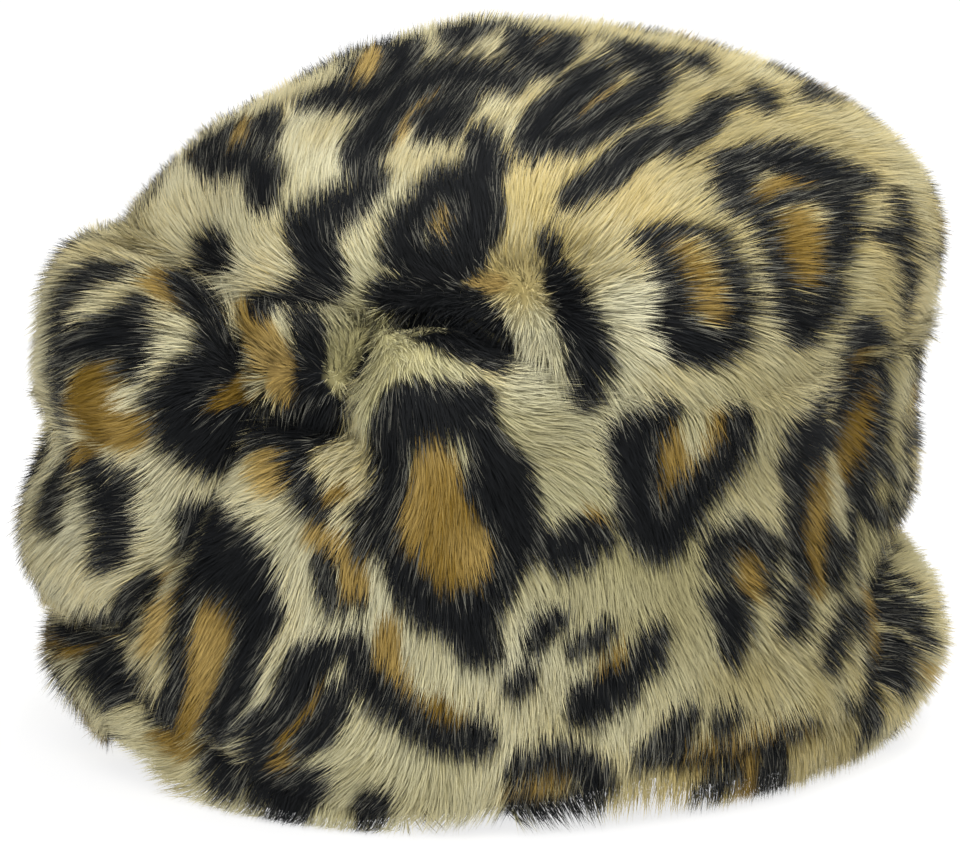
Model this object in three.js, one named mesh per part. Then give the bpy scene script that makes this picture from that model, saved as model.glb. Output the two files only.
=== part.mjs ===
// A leopard-spotted faux-fur turban hat, in millimetres, +Z up, front towards -Y.
// It stands on its rim, with the origin on the floor at the middle of its footprint.
//
// The hat is a hollow crown whose cap band runs down to the rim. Fur pieces go round that band:
// a left and a right wrap drawn to a knot at the front, and a cuff round the head opening. The
// right wrap fans out below the knot and hangs to the rim there. Deep fur is shown by rows of
// pointed locks on each outer face.
//
// A place on the outside is given by an angle round the hat and a height above the floor.
// The angle is 0 degrees at the front, and grows towards +X, the right-hand side seen from the front.

import * as THREE from 'three';

const CAP_WALL = 3; // fabric backing and seam of the cap band
const CAP_LIFT = 2; // the band's lower edge above the floor
const CROWN_WALL = 15; // fabric backing and standing pile of the crown
const CROWN_FLOOR = 4; // wall of the crown where it overhangs the wraps
const CROWN_INNER_START = 14; // how far above the crown's lower edge the inner dome starts
const CAP_GAP = 0.6; // fur pieces to the cap band
const SEAM_GAP = 2; // between neighbouring fur pieces
const RELIEF_FADE = 12; // below the top of the hat, over which folds die away

const LOCK_HEIGHT = 3.5; // how far a lock's tip stands proud
const LOCK_ROWS = 3; // grid lines along one lock, from root to tip
const EDGE_DEPTH = LOCK_HEIGHT / 2; // how far a piece's edge lies below its locks' tips
const PLAIN_TOP_LINES = 4; // crown lines at the top, too close together to draw locks
const GRID_STEP = 8.5; // largest distance between grid lines
const RING_STEP = 9.5; // the same round the hat
const MEAN_RADIUS = 115; // turns angles round the hat into distances

// The outer form, from the floor to the top: ovals that lean back and to the right as they rise.
const BODY_FORM = [
  { height: 0, halfWidth: 95, halfDepth: 117, right: 3, back: 0 },
  { height: 22, halfWidth: 109, halfDepth: 126, right: 1, back: 0 },
  { height: 50, halfWidth: 108, halfDepth: 127, right: -3, back: 1 },
  { height: 80, halfWidth: 106, halfDepth: 127, right: -3, back: 2 },
  { height: 105, halfWidth: 107, halfDepth: 126, right: 0, back: 4 },
  { height: 127, halfWidth: 100, halfDepth: 117, right: 5, back: 8 },
  { height: 144, halfWidth: 84, halfDepth: 98, right: 7, back: 13 },
  { height: 157, halfWidth: 60, halfDepth: 72, right: 6, back: 17 },
  { height: 166, halfWidth: 33, halfDepth: 41, right: 2, back: 19 },
  { height: 170, halfWidth: 0, halfDepth: 0, right: -1, back: 20 },
];

// The inside of the cap band: ovals that close in over the head, 580 mm round at the rim.
const HEAD_FORM = [
  { height: 0, halfWidth: 82, halfDepth: 102, right: 1, back: 0 },
  { height: 60, halfWidth: 82, halfDepth: 101, right: 1, back: 1 },
  { height: 100, halfWidth: 79, halfDepth: 97, right: 2, back: 4 },
  { height: 125, halfWidth: 73, halfDepth: 88, right: 3, back: 8 },
  { height: 150, halfWidth: 60, halfDepth: 72, right: 4, back: 12 },
];

// Seams between the fur pieces: each piece below spans from its low edge to its high edge.
// Left wrap, from its tip at the knot round to the back.
const LEFT_WRAP = [
  { lowAngle: -13, lowHeight: 102, highAngle: -14, highHeight: 106 },
  { lowAngle: -18, lowHeight: 88, highAngle: -18, highHeight: 114 },
  { lowAngle: -22, lowHeight: 67, highAngle: -25, highHeight: 122 },
  { lowAngle: -28, lowHeight: 55, highAngle: -30, highHeight: 128 },
  { lowAngle: -37, lowHeight: 43, highAngle: -41, highHeight: 132 },
  { lowAngle: -52, lowHeight: 36, highAngle: -54, highHeight: 131 },
  { lowAngle: -68, lowHeight: 33, highAngle: -68, highHeight: 126 },
  { lowAngle: -90, lowHeight: 34, highAngle: -90, highHeight: 119 },
  { lowAngle: -120, lowHeight: 38, highAngle: -120, highHeight: 112 },
  { lowAngle: -150, lowHeight: 43, highAngle: -150, highHeight: 107 },
  { lowAngle: -180, lowHeight: 46, highAngle: -180, highHeight: 104 },
];

// Right wrap, from beside the left wrap, fanning out below the knot, round to the back.
const RIGHT_WRAP = [
  { lowAngle: -34, lowHeight: 24, highAngle: -37, highHeight: 43 },
  { lowAngle: -27, lowHeight: 20, highAngle: -28, highHeight: 55 },
  { lowAngle: -20, lowHeight: 15, highAngle: -22, highHeight: 67 },
  { lowAngle: -11, lowHeight: 8, highAngle: -18, highHeight: 88 },
  { lowAngle: -3, lowHeight: 6, highAngle: -13, highHeight: 102 },
  { lowAngle: 8, lowHeight: 5, highAngle: -5.5, highHeight: 100.5 },
  { lowAngle: 17, lowHeight: 6, highAngle: 2, highHeight: 99 },
  { lowAngle: 20, lowHeight: 7, highAngle: 0.8, highHeight: 106 },
  { lowAngle: 22.5, lowHeight: 8, highAngle: -0.9, highHeight: 116 },
  { lowAngle: 25, lowHeight: 9, highAngle: -2.1, highHeight: 123 },
  { lowAngle: 28, lowHeight: 10, highAngle: -3.5, highHeight: 131 },
  { lowAngle: 34, lowHeight: 12, highAngle: 5, highHeight: 132 },
  { lowAngle: 40, lowHeight: 13, highAngle: 12, highHeight: 130 },
  { lowAngle: 47, lowHeight: 14, highAngle: 20, highHeight: 121 },
  { lowAngle: 54, lowHeight: 15, highAngle: 29, highHeight: 108 },
  { lowAngle: 63, lowHeight: 16, highAngle: 42, highHeight: 104 },
  { lowAngle: 78, lowHeight: 19, highAngle: 62, highHeight: 102 },
  { lowAngle: 87, lowHeight: 42, highAngle: 80, highHeight: 101 },
  { lowAngle: 98, lowHeight: 47, highAngle: 97, highHeight: 101 },
  { lowAngle: 120, lowHeight: 48, highAngle: 120, highHeight: 102 },
  { lowAngle: 150, lowHeight: 47, highAngle: 150, highHeight: 103 },
  { lowAngle: 180, lowHeight: 46, highAngle: 180, highHeight: 104 },
];

// Knot, the gathered tuck between the wraps: left edge and right edge, from its tip to the crown.
const KNOT = [
  { lowAngle: -13, lowHeight: 102, highAngle: 2, highHeight: 99 },
  { lowAngle: -14, lowHeight: 106, highAngle: 0.8, highHeight: 106 },
  { lowAngle: -18, lowHeight: 114, highAngle: -0.9, highHeight: 116 },
  { lowAngle: -25, lowHeight: 122, highAngle: -2.1, highHeight: 123 },
  { lowAngle: -30, lowHeight: 128, highAngle: -3.5, highHeight: 131 },
];

// How far the cuff's outer edge is rolled up off the floor, round the hat.
const HEM_ROLL = [
  { angle: -180, lift: 0 },
  { angle: -120, lift: 0 },
  { angle: -60, lift: 1 },
  { angle: -30, lift: 2 },
  { angle: 15, lift: 1 },
  { angle: 45, lift: 4 },
  { angle: 70, lift: 7 },
  { angle: 95, lift: 6 },
  { angle: 125, lift: 1 },
  { angle: 150, lift: 0 },
  { angle: 180, lift: 0 },
];

// Creases drawn in by the gathers, each a chain of places with the depth there.
const CREASES = {
  crownEdge: {
    reach: 8,
    chain: [
      { angle: -180, height: 104, depth: 3 },
      { angle: -120, height: 112, depth: 5 },
      { angle: -68, height: 126, depth: 6 },
      { angle: -41, height: 132, depth: 8 },
      { angle: -30, height: 128, depth: 10 },
      { angle: -3.5, height: 131, depth: 10 },
      { angle: 12, height: 130, depth: 11 },
      { angle: 20, height: 121, depth: 11 },
      { angle: 29, height: 108, depth: 4 },
      { angle: 42, height: 104, depth: 0 },
    ],
  },
  crownBack: {
    reach: 10,
    chain: [
      { angle: 120, height: 102, depth: 0 },
      { angle: 150, height: 103, depth: 2 },
      { angle: 180, height: 104, depth: 3 },
    ],
  },
  knotLeft: {
    reach: 8,
    chain: [
      { angle: -30, height: 128, depth: 8 },
      { angle: -25, height: 122, depth: 9 },
      { angle: -18, height: 114, depth: 10 },
      { angle: -13, height: 102, depth: 13 },
      { angle: -18, height: 88, depth: 12 },
      { angle: -22, height: 67, depth: 10 },
      { angle: -28, height: 55, depth: 9 },
      { angle: -37, height: 43, depth: 9 },
    ],
  },
  knotRight: {
    reach: 7,
    chain: [
      { angle: -3.5, height: 131, depth: 9 },
      { angle: -0.9, height: 116, depth: 10 },
      { angle: 2, height: 99, depth: 13 },
      { angle: 5, height: 92, depth: 6 },
      { angle: 9, height: 86, depth: 0 },
    ],
  },
  knotBelow: {
    reach: 9,
    chain: [
      { angle: -13, height: 102, depth: 13 },
      { angle: 2, height: 99, depth: 13 },
    ],
  },
  cuffLeft: {
    reach: 7,
    chain: [
      { angle: -180, height: 46, depth: 7 },
      { angle: -120, height: 38, depth: 7 },
      { angle: -68, height: 33, depth: 7 },
      { angle: -52, height: 36, depth: 8 },
      { angle: -37, height: 43, depth: 9 },
      { angle: -34, height: 24, depth: 6 },
      { angle: -20, height: 15, depth: 5 },
      { angle: -11, height: 8, depth: 3 },
      { angle: 8, height: 5, depth: 2 },
    ],
  },
  cuffRight: {
    reach: 8,
    chain: [
      { angle: 20, height: 7, depth: 2 },
      { angle: 34, height: 12, depth: 4 },
      { angle: 63, height: 16, depth: 6 },
      { angle: 78, height: 19, depth: 6 },
      { angle: 87, height: 42, depth: 9 },
      { angle: 98, height: 47, depth: 12 },
      { angle: 120, height: 48, depth: 10 },
      { angle: 150, height: 47, depth: 7 },
      { angle: 180, height: 46, depth: 7 },
    ],
  },
};

// Soft pleats and swells: a bump of the given height round each stretch, a hollow if negative.
const SWELLS = [
  { fromAngle: -9, fromHeight: 92, toAngle: -24, toHeight: 38, reach: 11, lift: 3 },
  { fromAngle: -3, fromHeight: 90, toAngle: -9, toHeight: 30, reach: 9, lift: 3 },
  { fromAngle: -13, fromHeight: 84, toAngle: -18, toHeight: 30, reach: 8, lift: -3 },
  { fromAngle: 12, fromHeight: 98, toAngle: 16, toHeight: 50, reach: 15, lift: 4 },
  { fromAngle: 8, fromHeight: 118, toAngle: 20, toHeight: 104, reach: 12, lift: 4 },
  { fromAngle: 27, fromHeight: 88, toAngle: 36, toHeight: 34, reach: 12, lift: -3 },
  { fromAngle: 44, fromHeight: 84, toAngle: 60, toHeight: 30, reach: 16, lift: 3 },
  { fromAngle: 76, fromHeight: 92, toAngle: 84, toHeight: 58, reach: 13, lift: -5 },
  { fromAngle: -34, fromHeight: 106, toAngle: -62, toHeight: 98, reach: 17, lift: 4 },
  { fromAngle: -50, fromHeight: 119, toAngle: -88, toHeight: 110, reach: 12, lift: 4 },
  { fromAngle: -40, fromHeight: 80, toAngle: -70, toHeight: 78, reach: 10, lift: -3 },
  { fromAngle: -34, fromHeight: 62, toAngle: -88, toHeight: 50, reach: 14, lift: 5 },
  { fromAngle: -100, fromHeight: 23, toAngle: -50, toHeight: 23, reach: 9, lift: 2 },
  { fromAngle: -60, fromHeight: 146, toAngle: -20, toHeight: 146, reach: 11, lift: 3 },
  { fromAngle: 30, fromHeight: 122, toAngle: 52, toHeight: 112, reach: 15, lift: 4 },
  { fromAngle: 94, fromHeight: 30, toAngle: 130, toHeight: 26, reach: 13, lift: 2 },
];

const radians = THREE.MathUtils.degToRad;
const lerp = THREE.MathUtils.lerp;

// The value of a column between two rows of a table, on a smooth curve through all of them.
function along(rows, column, t) {
  const i = Math.min(Math.floor(t), rows.length - 2);
  const at = (n) => rows[THREE.MathUtils.clamp(n, 0, rows.length - 1)][column];
  const f = t - i;
  const [p0, p1, p2, p3] = [at(i - 1), at(i), at(i + 1), at(i + 2)];
  const slopeIn = (p2 - p0) / 2;
  const slopeOut = (p3 - p1) / 2;
  const f2 = f * f;
  const f3 = f2 * f;
  return (
    (2 * f3 - 3 * f2 + 1) * p1 +
    (f3 - 2 * f2 + f) * slopeIn +
    (3 * f2 - 2 * f3) * p2 +
    (f3 - f2) * slopeOut
  );
}

// Where on a form's table a height falls.
function levelIn(form, height) {
  let low = 0;
  let high = form.length - 1;
  for (let i = 0; i < 40; i++) {
    const middle = (low + high) / 2;
    if (along(form, 'height', middle) < height) low = middle;
    else high = middle;
  }
  return (low + high) / 2;
}

const levelAt = (height) => levelIn(BODY_FORM, height);

// A point of a form's oval, moved straight out by the given distance.
function ovalPoint(form, angle, level, out = 0) {
  const a = radians(angle);
  const column = (name) => along(form, name, level);
  return new THREE.Vector3(
    column('right') + (column('halfWidth') + out) * Math.sin(a),
    column('back') - (column('halfDepth') + out) * Math.cos(a),
    column('height'),
  );
}

// The smooth outer form, before creases.
const bodyPoint = (angle, level) => ovalPoint(BODY_FORM, angle, level);

// The outward direction of that form.
function bodyNormal(angle, level) {
  const top = BODY_FORM.length - 1;
  if (level > top - 0.02) return new THREE.Vector3(0, 0, 1);
  const span = 0.01;
  const round = bodyPoint(angle + 1, level).sub(bodyPoint(angle - 1, level));
  const up = bodyPoint(angle, level + span).sub(bodyPoint(angle, Math.max(level - span, 0)));
  return round.cross(up).normalize();
}

// Distance of a place from a straight stretch between two others, and how far along it that is.
function nearStretch(angle, height, from, to) {
  const turn = radians(1) * MEAN_RADIUS;
  const wrapped = (difference) => THREE.MathUtils.euclideanModulo(difference + 180, 360) - 180;
  const across = wrapped(angle - from.angle) * turn;
  const stretchAcross = (to.angle - from.angle) * turn;
  const up = height - from.height;
  const stretchUp = to.height - from.height;
  const length2 = stretchAcross ** 2 + stretchUp ** 2;
  const share = THREE.MathUtils.clamp((across * stretchAcross + up * stretchUp) / length2, 0, 1);
  return {
    share,
    distance: Math.hypot(across - share * stretchAcross, up - share * stretchUp),
  };
}

// How far the outside stands out (positive) or is drawn in (negative) at a place.
function relief(angle, height) {
  let deepest = 0;
  for (const { reach, chain } of Object.values(CREASES)) {
    for (let i = 0; i + 1 < chain.length; i++) {
      const near = nearStretch(angle, height, chain[i], chain[i + 1]);
      const depth = lerp(chain[i].depth, chain[i + 1].depth, near.share);
      deepest = Math.max(deepest, depth * Math.exp(-near.distance / reach));
    }
  }
  let lifted = 0;
  for (const swell of SWELLS) {
    const from = { angle: swell.fromAngle, height: swell.fromHeight };
    const to = { angle: swell.toAngle, height: swell.toHeight };
    const near = nearStretch(angle, height, from, to);
    lifted += swell.lift * Math.exp(-((near.distance / swell.reach) ** 2));
  }
  const top = BODY_FORM[BODY_FORM.length - 1].height;
  const fade = THREE.MathUtils.clamp((top - height) / RELIEF_FADE, 0, 1);
  return fade * (lifted - deepest);
}

// A point of the fur's outer face. proud moves it out from the form.
function furPoint(angle, level, proud = 0) {
  const point = bodyPoint(angle, level);
  const out = relief(angle, point.z) + proud;
  return point.addScaledVector(bodyNormal(angle, level), out);
}

// A point of the cap band.
function capPoint(angle, height, out) {
  return ovalPoint(HEAD_FORM, angle, levelIn(HEAD_FORM, height), out);
}

// A lock's shape on the grid. along counts lines down the nap and across counts them sideways.
// The root line lies close under the tip of the lock before it, and every other tip is shorter.
function lockAt(alongNap, acrossNap) {
  const stage = alongNap % LOCK_ROWS;
  const row = Math.floor(alongNap / LOCK_ROWS);
  const long = (acrossNap + row) % 2 === 0;
  if (stage === 0) return { shift: long ? -0.45 : -0.75, proud: -LOCK_HEIGHT };
  if (stage === 1) return { shift: -0.2, proud: -0.6 * LOCK_HEIGHT };
  return { shift: long ? 0.3 : -0.3, proud: long ? 0 : -0.4 * LOCK_HEIGHT };
}

// A closed solid from loops of points. Each loop joins the next, and the last joins the first
// unless the ends are flat: then each end is closed by strips between its outer and inner line.
function loft(loops, flatEnds) {
  const count = loops[0].length;
  const positions = loops.flat().flatMap((p) => [p.x, p.y, p.z]);
  const faces = [];
  const spans = flatEnds ? loops.length - 1 : loops.length;
  for (let i = 0; i < spans; i++) {
    const next = (i + 1) % loops.length;
    for (let j = 0; j < count; j++) {
      const k = (j + 1) % count;
      const [a, b, c, d] = [loops[i][j], loops[next][j], loops[next][k], loops[i][k]];
      const corners = [i * count + j, next * count + j, next * count + k, i * count + k];
      faces.push(...halves(corners, a.distanceTo(c) < b.distanceTo(d)));
    }
  }
  if (flatEnds) {
    for (const [i, turned] of [[0, false], [loops.length - 1, true]]) {
      for (const [a, b, c] of endFaces(count)) {
        const face = turned ? [a, c, b] : [a, b, c];
        faces.push(...face.map((n) => i * count + n));
      }
    }
  }
  return facing(positions, faces);
}

// The two triangles of a quad, split from its first corner or from its second.
function halves([a, b, c, d], fromFirst) {
  return fromFirst ? [a, b, c, a, c, d] : [a, b, d, b, c, d];
}

// Triangles across one end. The inner line has half as many steps as the outer line and comes
// back the other way, so the loop's last point lies under its first.
function endFaces(count) {
  const steps = (2 * (count - 2)) / 3;
  const faces = [];
  for (let j = 0; j < steps; j += 2) {
    const inner = count - 1 - j / 2;
    faces.push([j, j + 1, inner], [j + 1, inner - 1, inner], [j + 1, j + 2, inner - 1]);
  }
  return faces;
}

// A solid of revolution whose profile starts and ends on the axis: rings between two poles.
function domed(rings, firstPole, lastPole) {
  const count = rings[0].length;
  const positions = [firstPole, ...rings.flat(), lastPole].flatMap((p) => [p.x, p.y, p.z]);
  const at = (i, j) => 1 + i * count + (j % count);
  const last = 1 + rings.length * count;
  const faces = [];
  for (let j = 0; j < count; j++) {
    faces.push(0, at(0, j), at(0, j + 1));
    faces.push(last, at(rings.length - 1, j + 1), at(rings.length - 1, j));
    for (let i = 0; i + 1 < rings.length; i++) {
      faces.push(at(i, j), at(i + 1, j), at(i + 1, j + 1));
      faces.push(at(i, j), at(i + 1, j + 1), at(i, j + 1));
    }
  }
  return facing(positions, faces);
}

// The geometry with its faces turned outwards, which a positive volume shows.
function facing(positions, faces) {
  const corner = (n) => new THREE.Vector3().fromArray(positions, 3 * n);
  let volume = 0;
  for (let i = 0; i < faces.length; i += 3) {
    const [a, b, c] = [corner(faces[i]), corner(faces[i + 1]), corner(faces[i + 2])];
    volume += a.dot(b.cross(c));
  }
  const index = volume > 0 ? faces : faces.toReversed();
  const geometry = new THREE.BufferGeometry();
  geometry.setAttribute('position', new THREE.Float32BufferAttribute(positions, 3));
  geometry.setIndex(index);
  geometry.computeVertexNormals();
  return geometry;
}

// Distance between two places on the outside.
function placeDistance(a, b) {
  return Math.hypot(radians(b.angle - a.angle) * MEAN_RADIUS, b.height - a.height);
}

const lowOf = (row) => ({ angle: row.lowAngle, height: row.lowHeight });
const highOf = (row) => ({ angle: row.highAngle, height: row.highHeight });
const between = (a, b, t) => ({
  angle: lerp(a.angle, b.angle, t),
  height: lerp(a.height, b.height, t),
});

// Splits each stretch of a chain of places into equal steps no longer than step.
function stepped(chain, step) {
  const places = [chain[0]];
  for (let i = 0; i + 1 < chain.length; i++) {
    const steps = Math.max(1, Math.round(placeDistance(chain[i], chain[i + 1]) / step));
    for (let k = 1; k <= steps; k++) places.push(between(chain[i], chain[i + 1], k / steps));
  }
  return places;
}

// Takes half a seam's gap off both ends of a chain of places.
function shortened(chain) {
  const cut = (end, next) => between(end, next, SEAM_GAP / 2 / placeDistance(end, next));
  const last = chain.length - 1;
  return [cut(chain[0], chain[1]), ...chain.slice(1, last), cut(chain[last], chain[last - 1])];
}

// How much to take off one end of a rung, as a share of it, to leave half a seam's gap beside the
// edge it meets: more where the rung meets the edge at a slant.
function rungTrim(edge, i, from, to) {
  const a = edge[Math.max(i - 1, 0)];
  const b = edge[Math.min(i + 1, edge.length - 1)];
  const turn = radians(1) * MEAN_RADIUS;
  const crossed =
    (b.angle - a.angle) * turn * (to.height - from.height) -
    (b.height - a.height) * (to.angle - from.angle) * turn;
  const sine = Math.abs(crossed) / placeDistance(a, b) / placeDistance(from, to);
  return SEAM_GAP / 2 / Math.max(sine, 0.2) / placeDistance(from, to);
}

// A fur piece between two edges that share the same number of places. Its rungs run from edge to
// edge, with an even number of steps. napAlongEdges says whether its locks lie along the edges or
// across them, downwards.
function furPiece({ lowEdge, highEdge, rungSteps, napAlongEdges }) {
  const last = lowEdge.length - 1;
  const lows = shortened(lowEdge);
  const highs = shortened(highEdge);
  const loops = lows.map((low, i) => {
    const high = highs[i];
    const lowTrim = rungTrim(lows, i, low, high);
    const highTrim = rungTrim(highs, i, low, high);
    const place = (share) => between(low, high, lerp(lowTrim, 1 - highTrim, share));
    const outer = [];
    for (let j = 0; j <= rungSteps; j++) {
      const atEdge = i === 0 || i === last || j === 0 || j === rungSteps;
      const lock = napAlongEdges ? lockAt(i, j) : lockAt(rungSteps - j, i);
      const shift = atEdge || napAlongEdges ? 0 : -lock.shift / rungSteps;
      const { angle, height } = place(j / rungSteps + shift);
      const proud = atEdge ? -EDGE_DEPTH : lock.proud;
      outer.push(furPoint(angle, levelAt(height), proud));
    }
    const inner = [];
    for (let j = rungSteps; j >= 0; j -= 2) {
      const { angle, height } = place(j / rungSteps);
      inner.push(capPoint(angle, height, CAP_WALL + CAP_GAP));
    }
    return [...outer, ...inner];
  });
  return loft(loops, true);
}

// Both edges of a table, stepped alike so that neighbours share their places.
function edgesOf(rows, step) {
  const low = [lowOf(rows[0])];
  const high = [highOf(rows[0])];
  for (let i = 0; i + 1 < rows.length; i++) {
    const lowPair = [lowOf(rows[i]), lowOf(rows[i + 1])];
    const highPair = [highOf(rows[i]), highOf(rows[i + 1])];
    const length = Math.max(placeDistance(...lowPair), placeDistance(...highPair));
    const steps = Math.max(1, Math.round(length / step));
    for (let k = 1; k <= steps; k++) {
      low.push(between(...lowPair, k / steps));
      high.push(between(...highPair, k / steps));
    }
  }
  return { lowEdge: low, highEdge: high };
}

// The crown's lower edge round the whole hat, and the cuff's upper edge.
const knotTop = KNOT[KNOT.length - 1];
const besideKnot = RIGHT_WRAP.findIndex((row) => row.highHeight === knotTop.highHeight);
const crownEdge = [
  ...LEFT_WRAP.map(highOf).filter((place) => place.angle <= knotTop.lowAngle).reverse(),
  ...RIGHT_WRAP.map(highOf).slice(besideKnot),
];
const cuffEdge = [
  ...LEFT_WRAP.map(lowOf).filter((place) => place.angle <= RIGHT_WRAP[0].highAngle).reverse(),
  ...RIGHT_WRAP.map(lowOf),
];

// How far the cuff's outer edge is off the floor at an angle.
function hemLift(angle) {
  const i = HEM_ROLL.findIndex((place) => place.angle >= angle);
  const [a, b] = [HEM_ROLL[Math.max(i - 1, 0)], HEM_ROLL[Math.max(i, 1)]];
  return lerp(a.lift, b.lift, (angle - a.angle) / (b.angle - a.angle));
}

// Crown: the dome over the wraps and, in one piece with it, the cap band round the head.
function crown() {
  const columns = stepped(crownEdge, RING_STEP).slice(0, -1);
  const outerLines = 20;
  const bandLines = 3;
  const innerLines = 6;
  const top = BODY_FORM.length - 1;
  const rings = [];
  for (let i = 1; i <= outerLines; i++) {
    rings.push(
      columns.map(({ angle, height }, j) => {
        const edgeLevel = levelAt(height + SEAM_GAP / 2);
        const lock = lockAt(i, j);
        const plain = i < PLAIN_TOP_LINES || i === outerLines;
        const line = plain ? i : i + lock.shift;
        const level = lerp(top, edgeLevel, line / outerLines);
        return furPoint(angle, level, plain ? -EDGE_DEPTH : lock.proud);
      }),
    );
  }
  const band = (pick, out) => columns.map((place) => capPoint(place.angle, pick(place), out));
  for (let i = 0; i <= bandLines; i++) {
    const down = i / bandLines;
    rings.push(band((place) => lerp(place.height + SEAM_GAP / 2, CAP_LIFT, down), CAP_WALL));
  }
  for (let i = 0; i <= bandLines; i++) {
    const up = i / bandLines;
    rings.push(band((place) => lerp(CAP_LIFT, place.height + CROWN_FLOOR, up), 0));
  }
  for (let i = 0; i < innerLines; i++) {
    rings.push(
      columns.map(({ angle, height }) => {
        const startLevel = levelAt(height + CROWN_INNER_START);
        const level = lerp(startLevel, top, i / innerLines);
        const wall = bodyNormal(angle, level).multiplyScalar(CROWN_WALL);
        return bodyPoint(angle, level).sub(wall);
      }),
    );
  }
  const outerTop = bodyPoint(0, top);
  outerTop.z -= EDGE_DEPTH;
  const innerTop = bodyPoint(0, top);
  innerTop.z -= CROWN_WALL;
  return domed(rings, outerTop, innerTop);
}

// Cuff: the fur band round the opening, flat where it stands on the floor.
function cuff() {
  const columns = stepped(cuffEdge, RING_STEP).slice(0, -1);
  const outerLines = 6;
  const loops = columns.map(({ angle, height }, j) => {
    const top = height - SEAM_GAP / 2;
    const hem = hemLift(angle);
    const outer = [];
    for (let i = 0; i <= outerLines; i++) {
      const atEdge = i === 0 || i === outerLines;
      const lock = lockAt(i, j);
      const line = atEdge ? i : i + lock.shift;
      const proud = atEdge ? -EDGE_DEPTH : lock.proud;
      const point = furPoint(angle, levelAt(lerp(top, hem, line / outerLines)), proud);
      if (i === outerLines) point.z = hem;
      outer.push(point);
    }
    const inner = [0, top].map((z) => capPoint(angle, z, CAP_WALL + CAP_GAP));
    return [...outer, ...inner];
  });
  return loft(loops, false);
}

function leftWrap() {
  return furPiece({ ...edgesOf(LEFT_WRAP, GRID_STEP), rungSteps: 10, napAlongEdges: true });
}

function rightWrap() {
  return furPiece({ ...edgesOf(RIGHT_WRAP, GRID_STEP), rungSteps: 12, napAlongEdges: false });
}

// The knot's edges run up and its rungs across.
function knot() {
  return furPiece({ ...edgesOf(KNOT, GRID_STEP / 2), rungSteps: 6, napAlongEdges: true });
}

// A fur material: the ground colour of that piece where its spots are left out.
function fur(colour) {
  return new THREE.MeshStandardMaterial({ color: colour, roughness: 0.9, metalness: 0 });
}

const CREAM = 0xd8cba4;
const TAN = 0xc8a468;
const SAND = 0xb8a478;

const PIECES = [
  { name: 'crown', make: crown, colour: TAN },
  { name: 'left_wrap', make: leftWrap, colour: CREAM },
  { name: 'right_wrap', make: rightWrap, colour: SAND },
  { name: 'knot', make: knot, colour: TAN },
  { name: 'cuff', make: cuff, colour: CREAM },
];

const hat = new THREE.Group();
for (const { name, make, colour } of PIECES) {
  const mesh = new THREE.Mesh(make(), fur(colour));
  mesh.name = name;
  hat.add(mesh);
}

// The origin is under the middle of the footprint.
const box = new THREE.Box3().setFromObject(hat);
const middle = box.getCenter(new THREE.Vector3());
hat.position.set(-middle.x, -middle.y, -box.min.z);

export default hat;
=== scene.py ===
"""Looks of a leopard-print fur turban hat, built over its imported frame.

Sizes are in millimetres in the row frame, and places in the photograph are in its pixels.
The hat's ground shells carry the nap as attributes, and a Geometry Nodes tree plants the fur.
"""

import math

import bpy
import numpy as np
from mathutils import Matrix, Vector


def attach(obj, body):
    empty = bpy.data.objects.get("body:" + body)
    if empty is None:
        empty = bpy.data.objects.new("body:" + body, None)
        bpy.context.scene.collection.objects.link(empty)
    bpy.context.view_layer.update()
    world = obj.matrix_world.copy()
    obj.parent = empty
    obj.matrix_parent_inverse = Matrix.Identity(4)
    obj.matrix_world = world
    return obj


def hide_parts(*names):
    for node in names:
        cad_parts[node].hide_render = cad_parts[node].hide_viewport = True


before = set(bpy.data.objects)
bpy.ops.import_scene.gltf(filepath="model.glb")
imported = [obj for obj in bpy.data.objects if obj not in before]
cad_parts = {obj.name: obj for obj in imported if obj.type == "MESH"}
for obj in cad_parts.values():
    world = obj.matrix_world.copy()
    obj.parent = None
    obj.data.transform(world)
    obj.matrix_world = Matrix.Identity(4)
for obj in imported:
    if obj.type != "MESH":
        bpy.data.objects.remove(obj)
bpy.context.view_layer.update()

MM = 0.001

# The photograph's camera: its place round the hat, and where the target shows in the frame.
CAMERA = {
    "azimuth": 18,
    "elevation": 12,
    "distance": 3000,
    "sensor": 36,
    "target": (0, 0, 80),
    "target_pixel": (490, 403.6),
    "pixel": 0.24,
    "clip_end": 20000,
}
PHOTO_SIZE = (960, 852)

# The outer form, ovals from the floor to the top: height, half width, half depth, then how far
# the middle lies to the right and to the back.
BODY_FORM = np.array(
    [
        (0, 95, 117, 3, 0),
        (22, 109, 126, 1, 0),
        (50, 108, 127, -3, 1),
        (80, 106, 127, -3, 2),
        (105, 107, 126, 0, 4),
        (127, 100, 117, 5, 8),
        (144, 84, 98, 7, 13),
        (157, 60, 72, 6, 17),
        (166, 33, 41, 2, 19),
        (170, 0, 0, -1, 20),
    ],
    float,
)
# The inside of the cap band, in the same columns.
HEAD_FORM = np.array(
    [
        (0, 82, 102, 1, 0),
        (60, 82, 101, 1, 1),
        (100, 79, 97, 2, 4),
        (125, 73, 88, 3, 8),
        (150, 60, 72, 4, 12),
    ],
    float,
)

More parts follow.
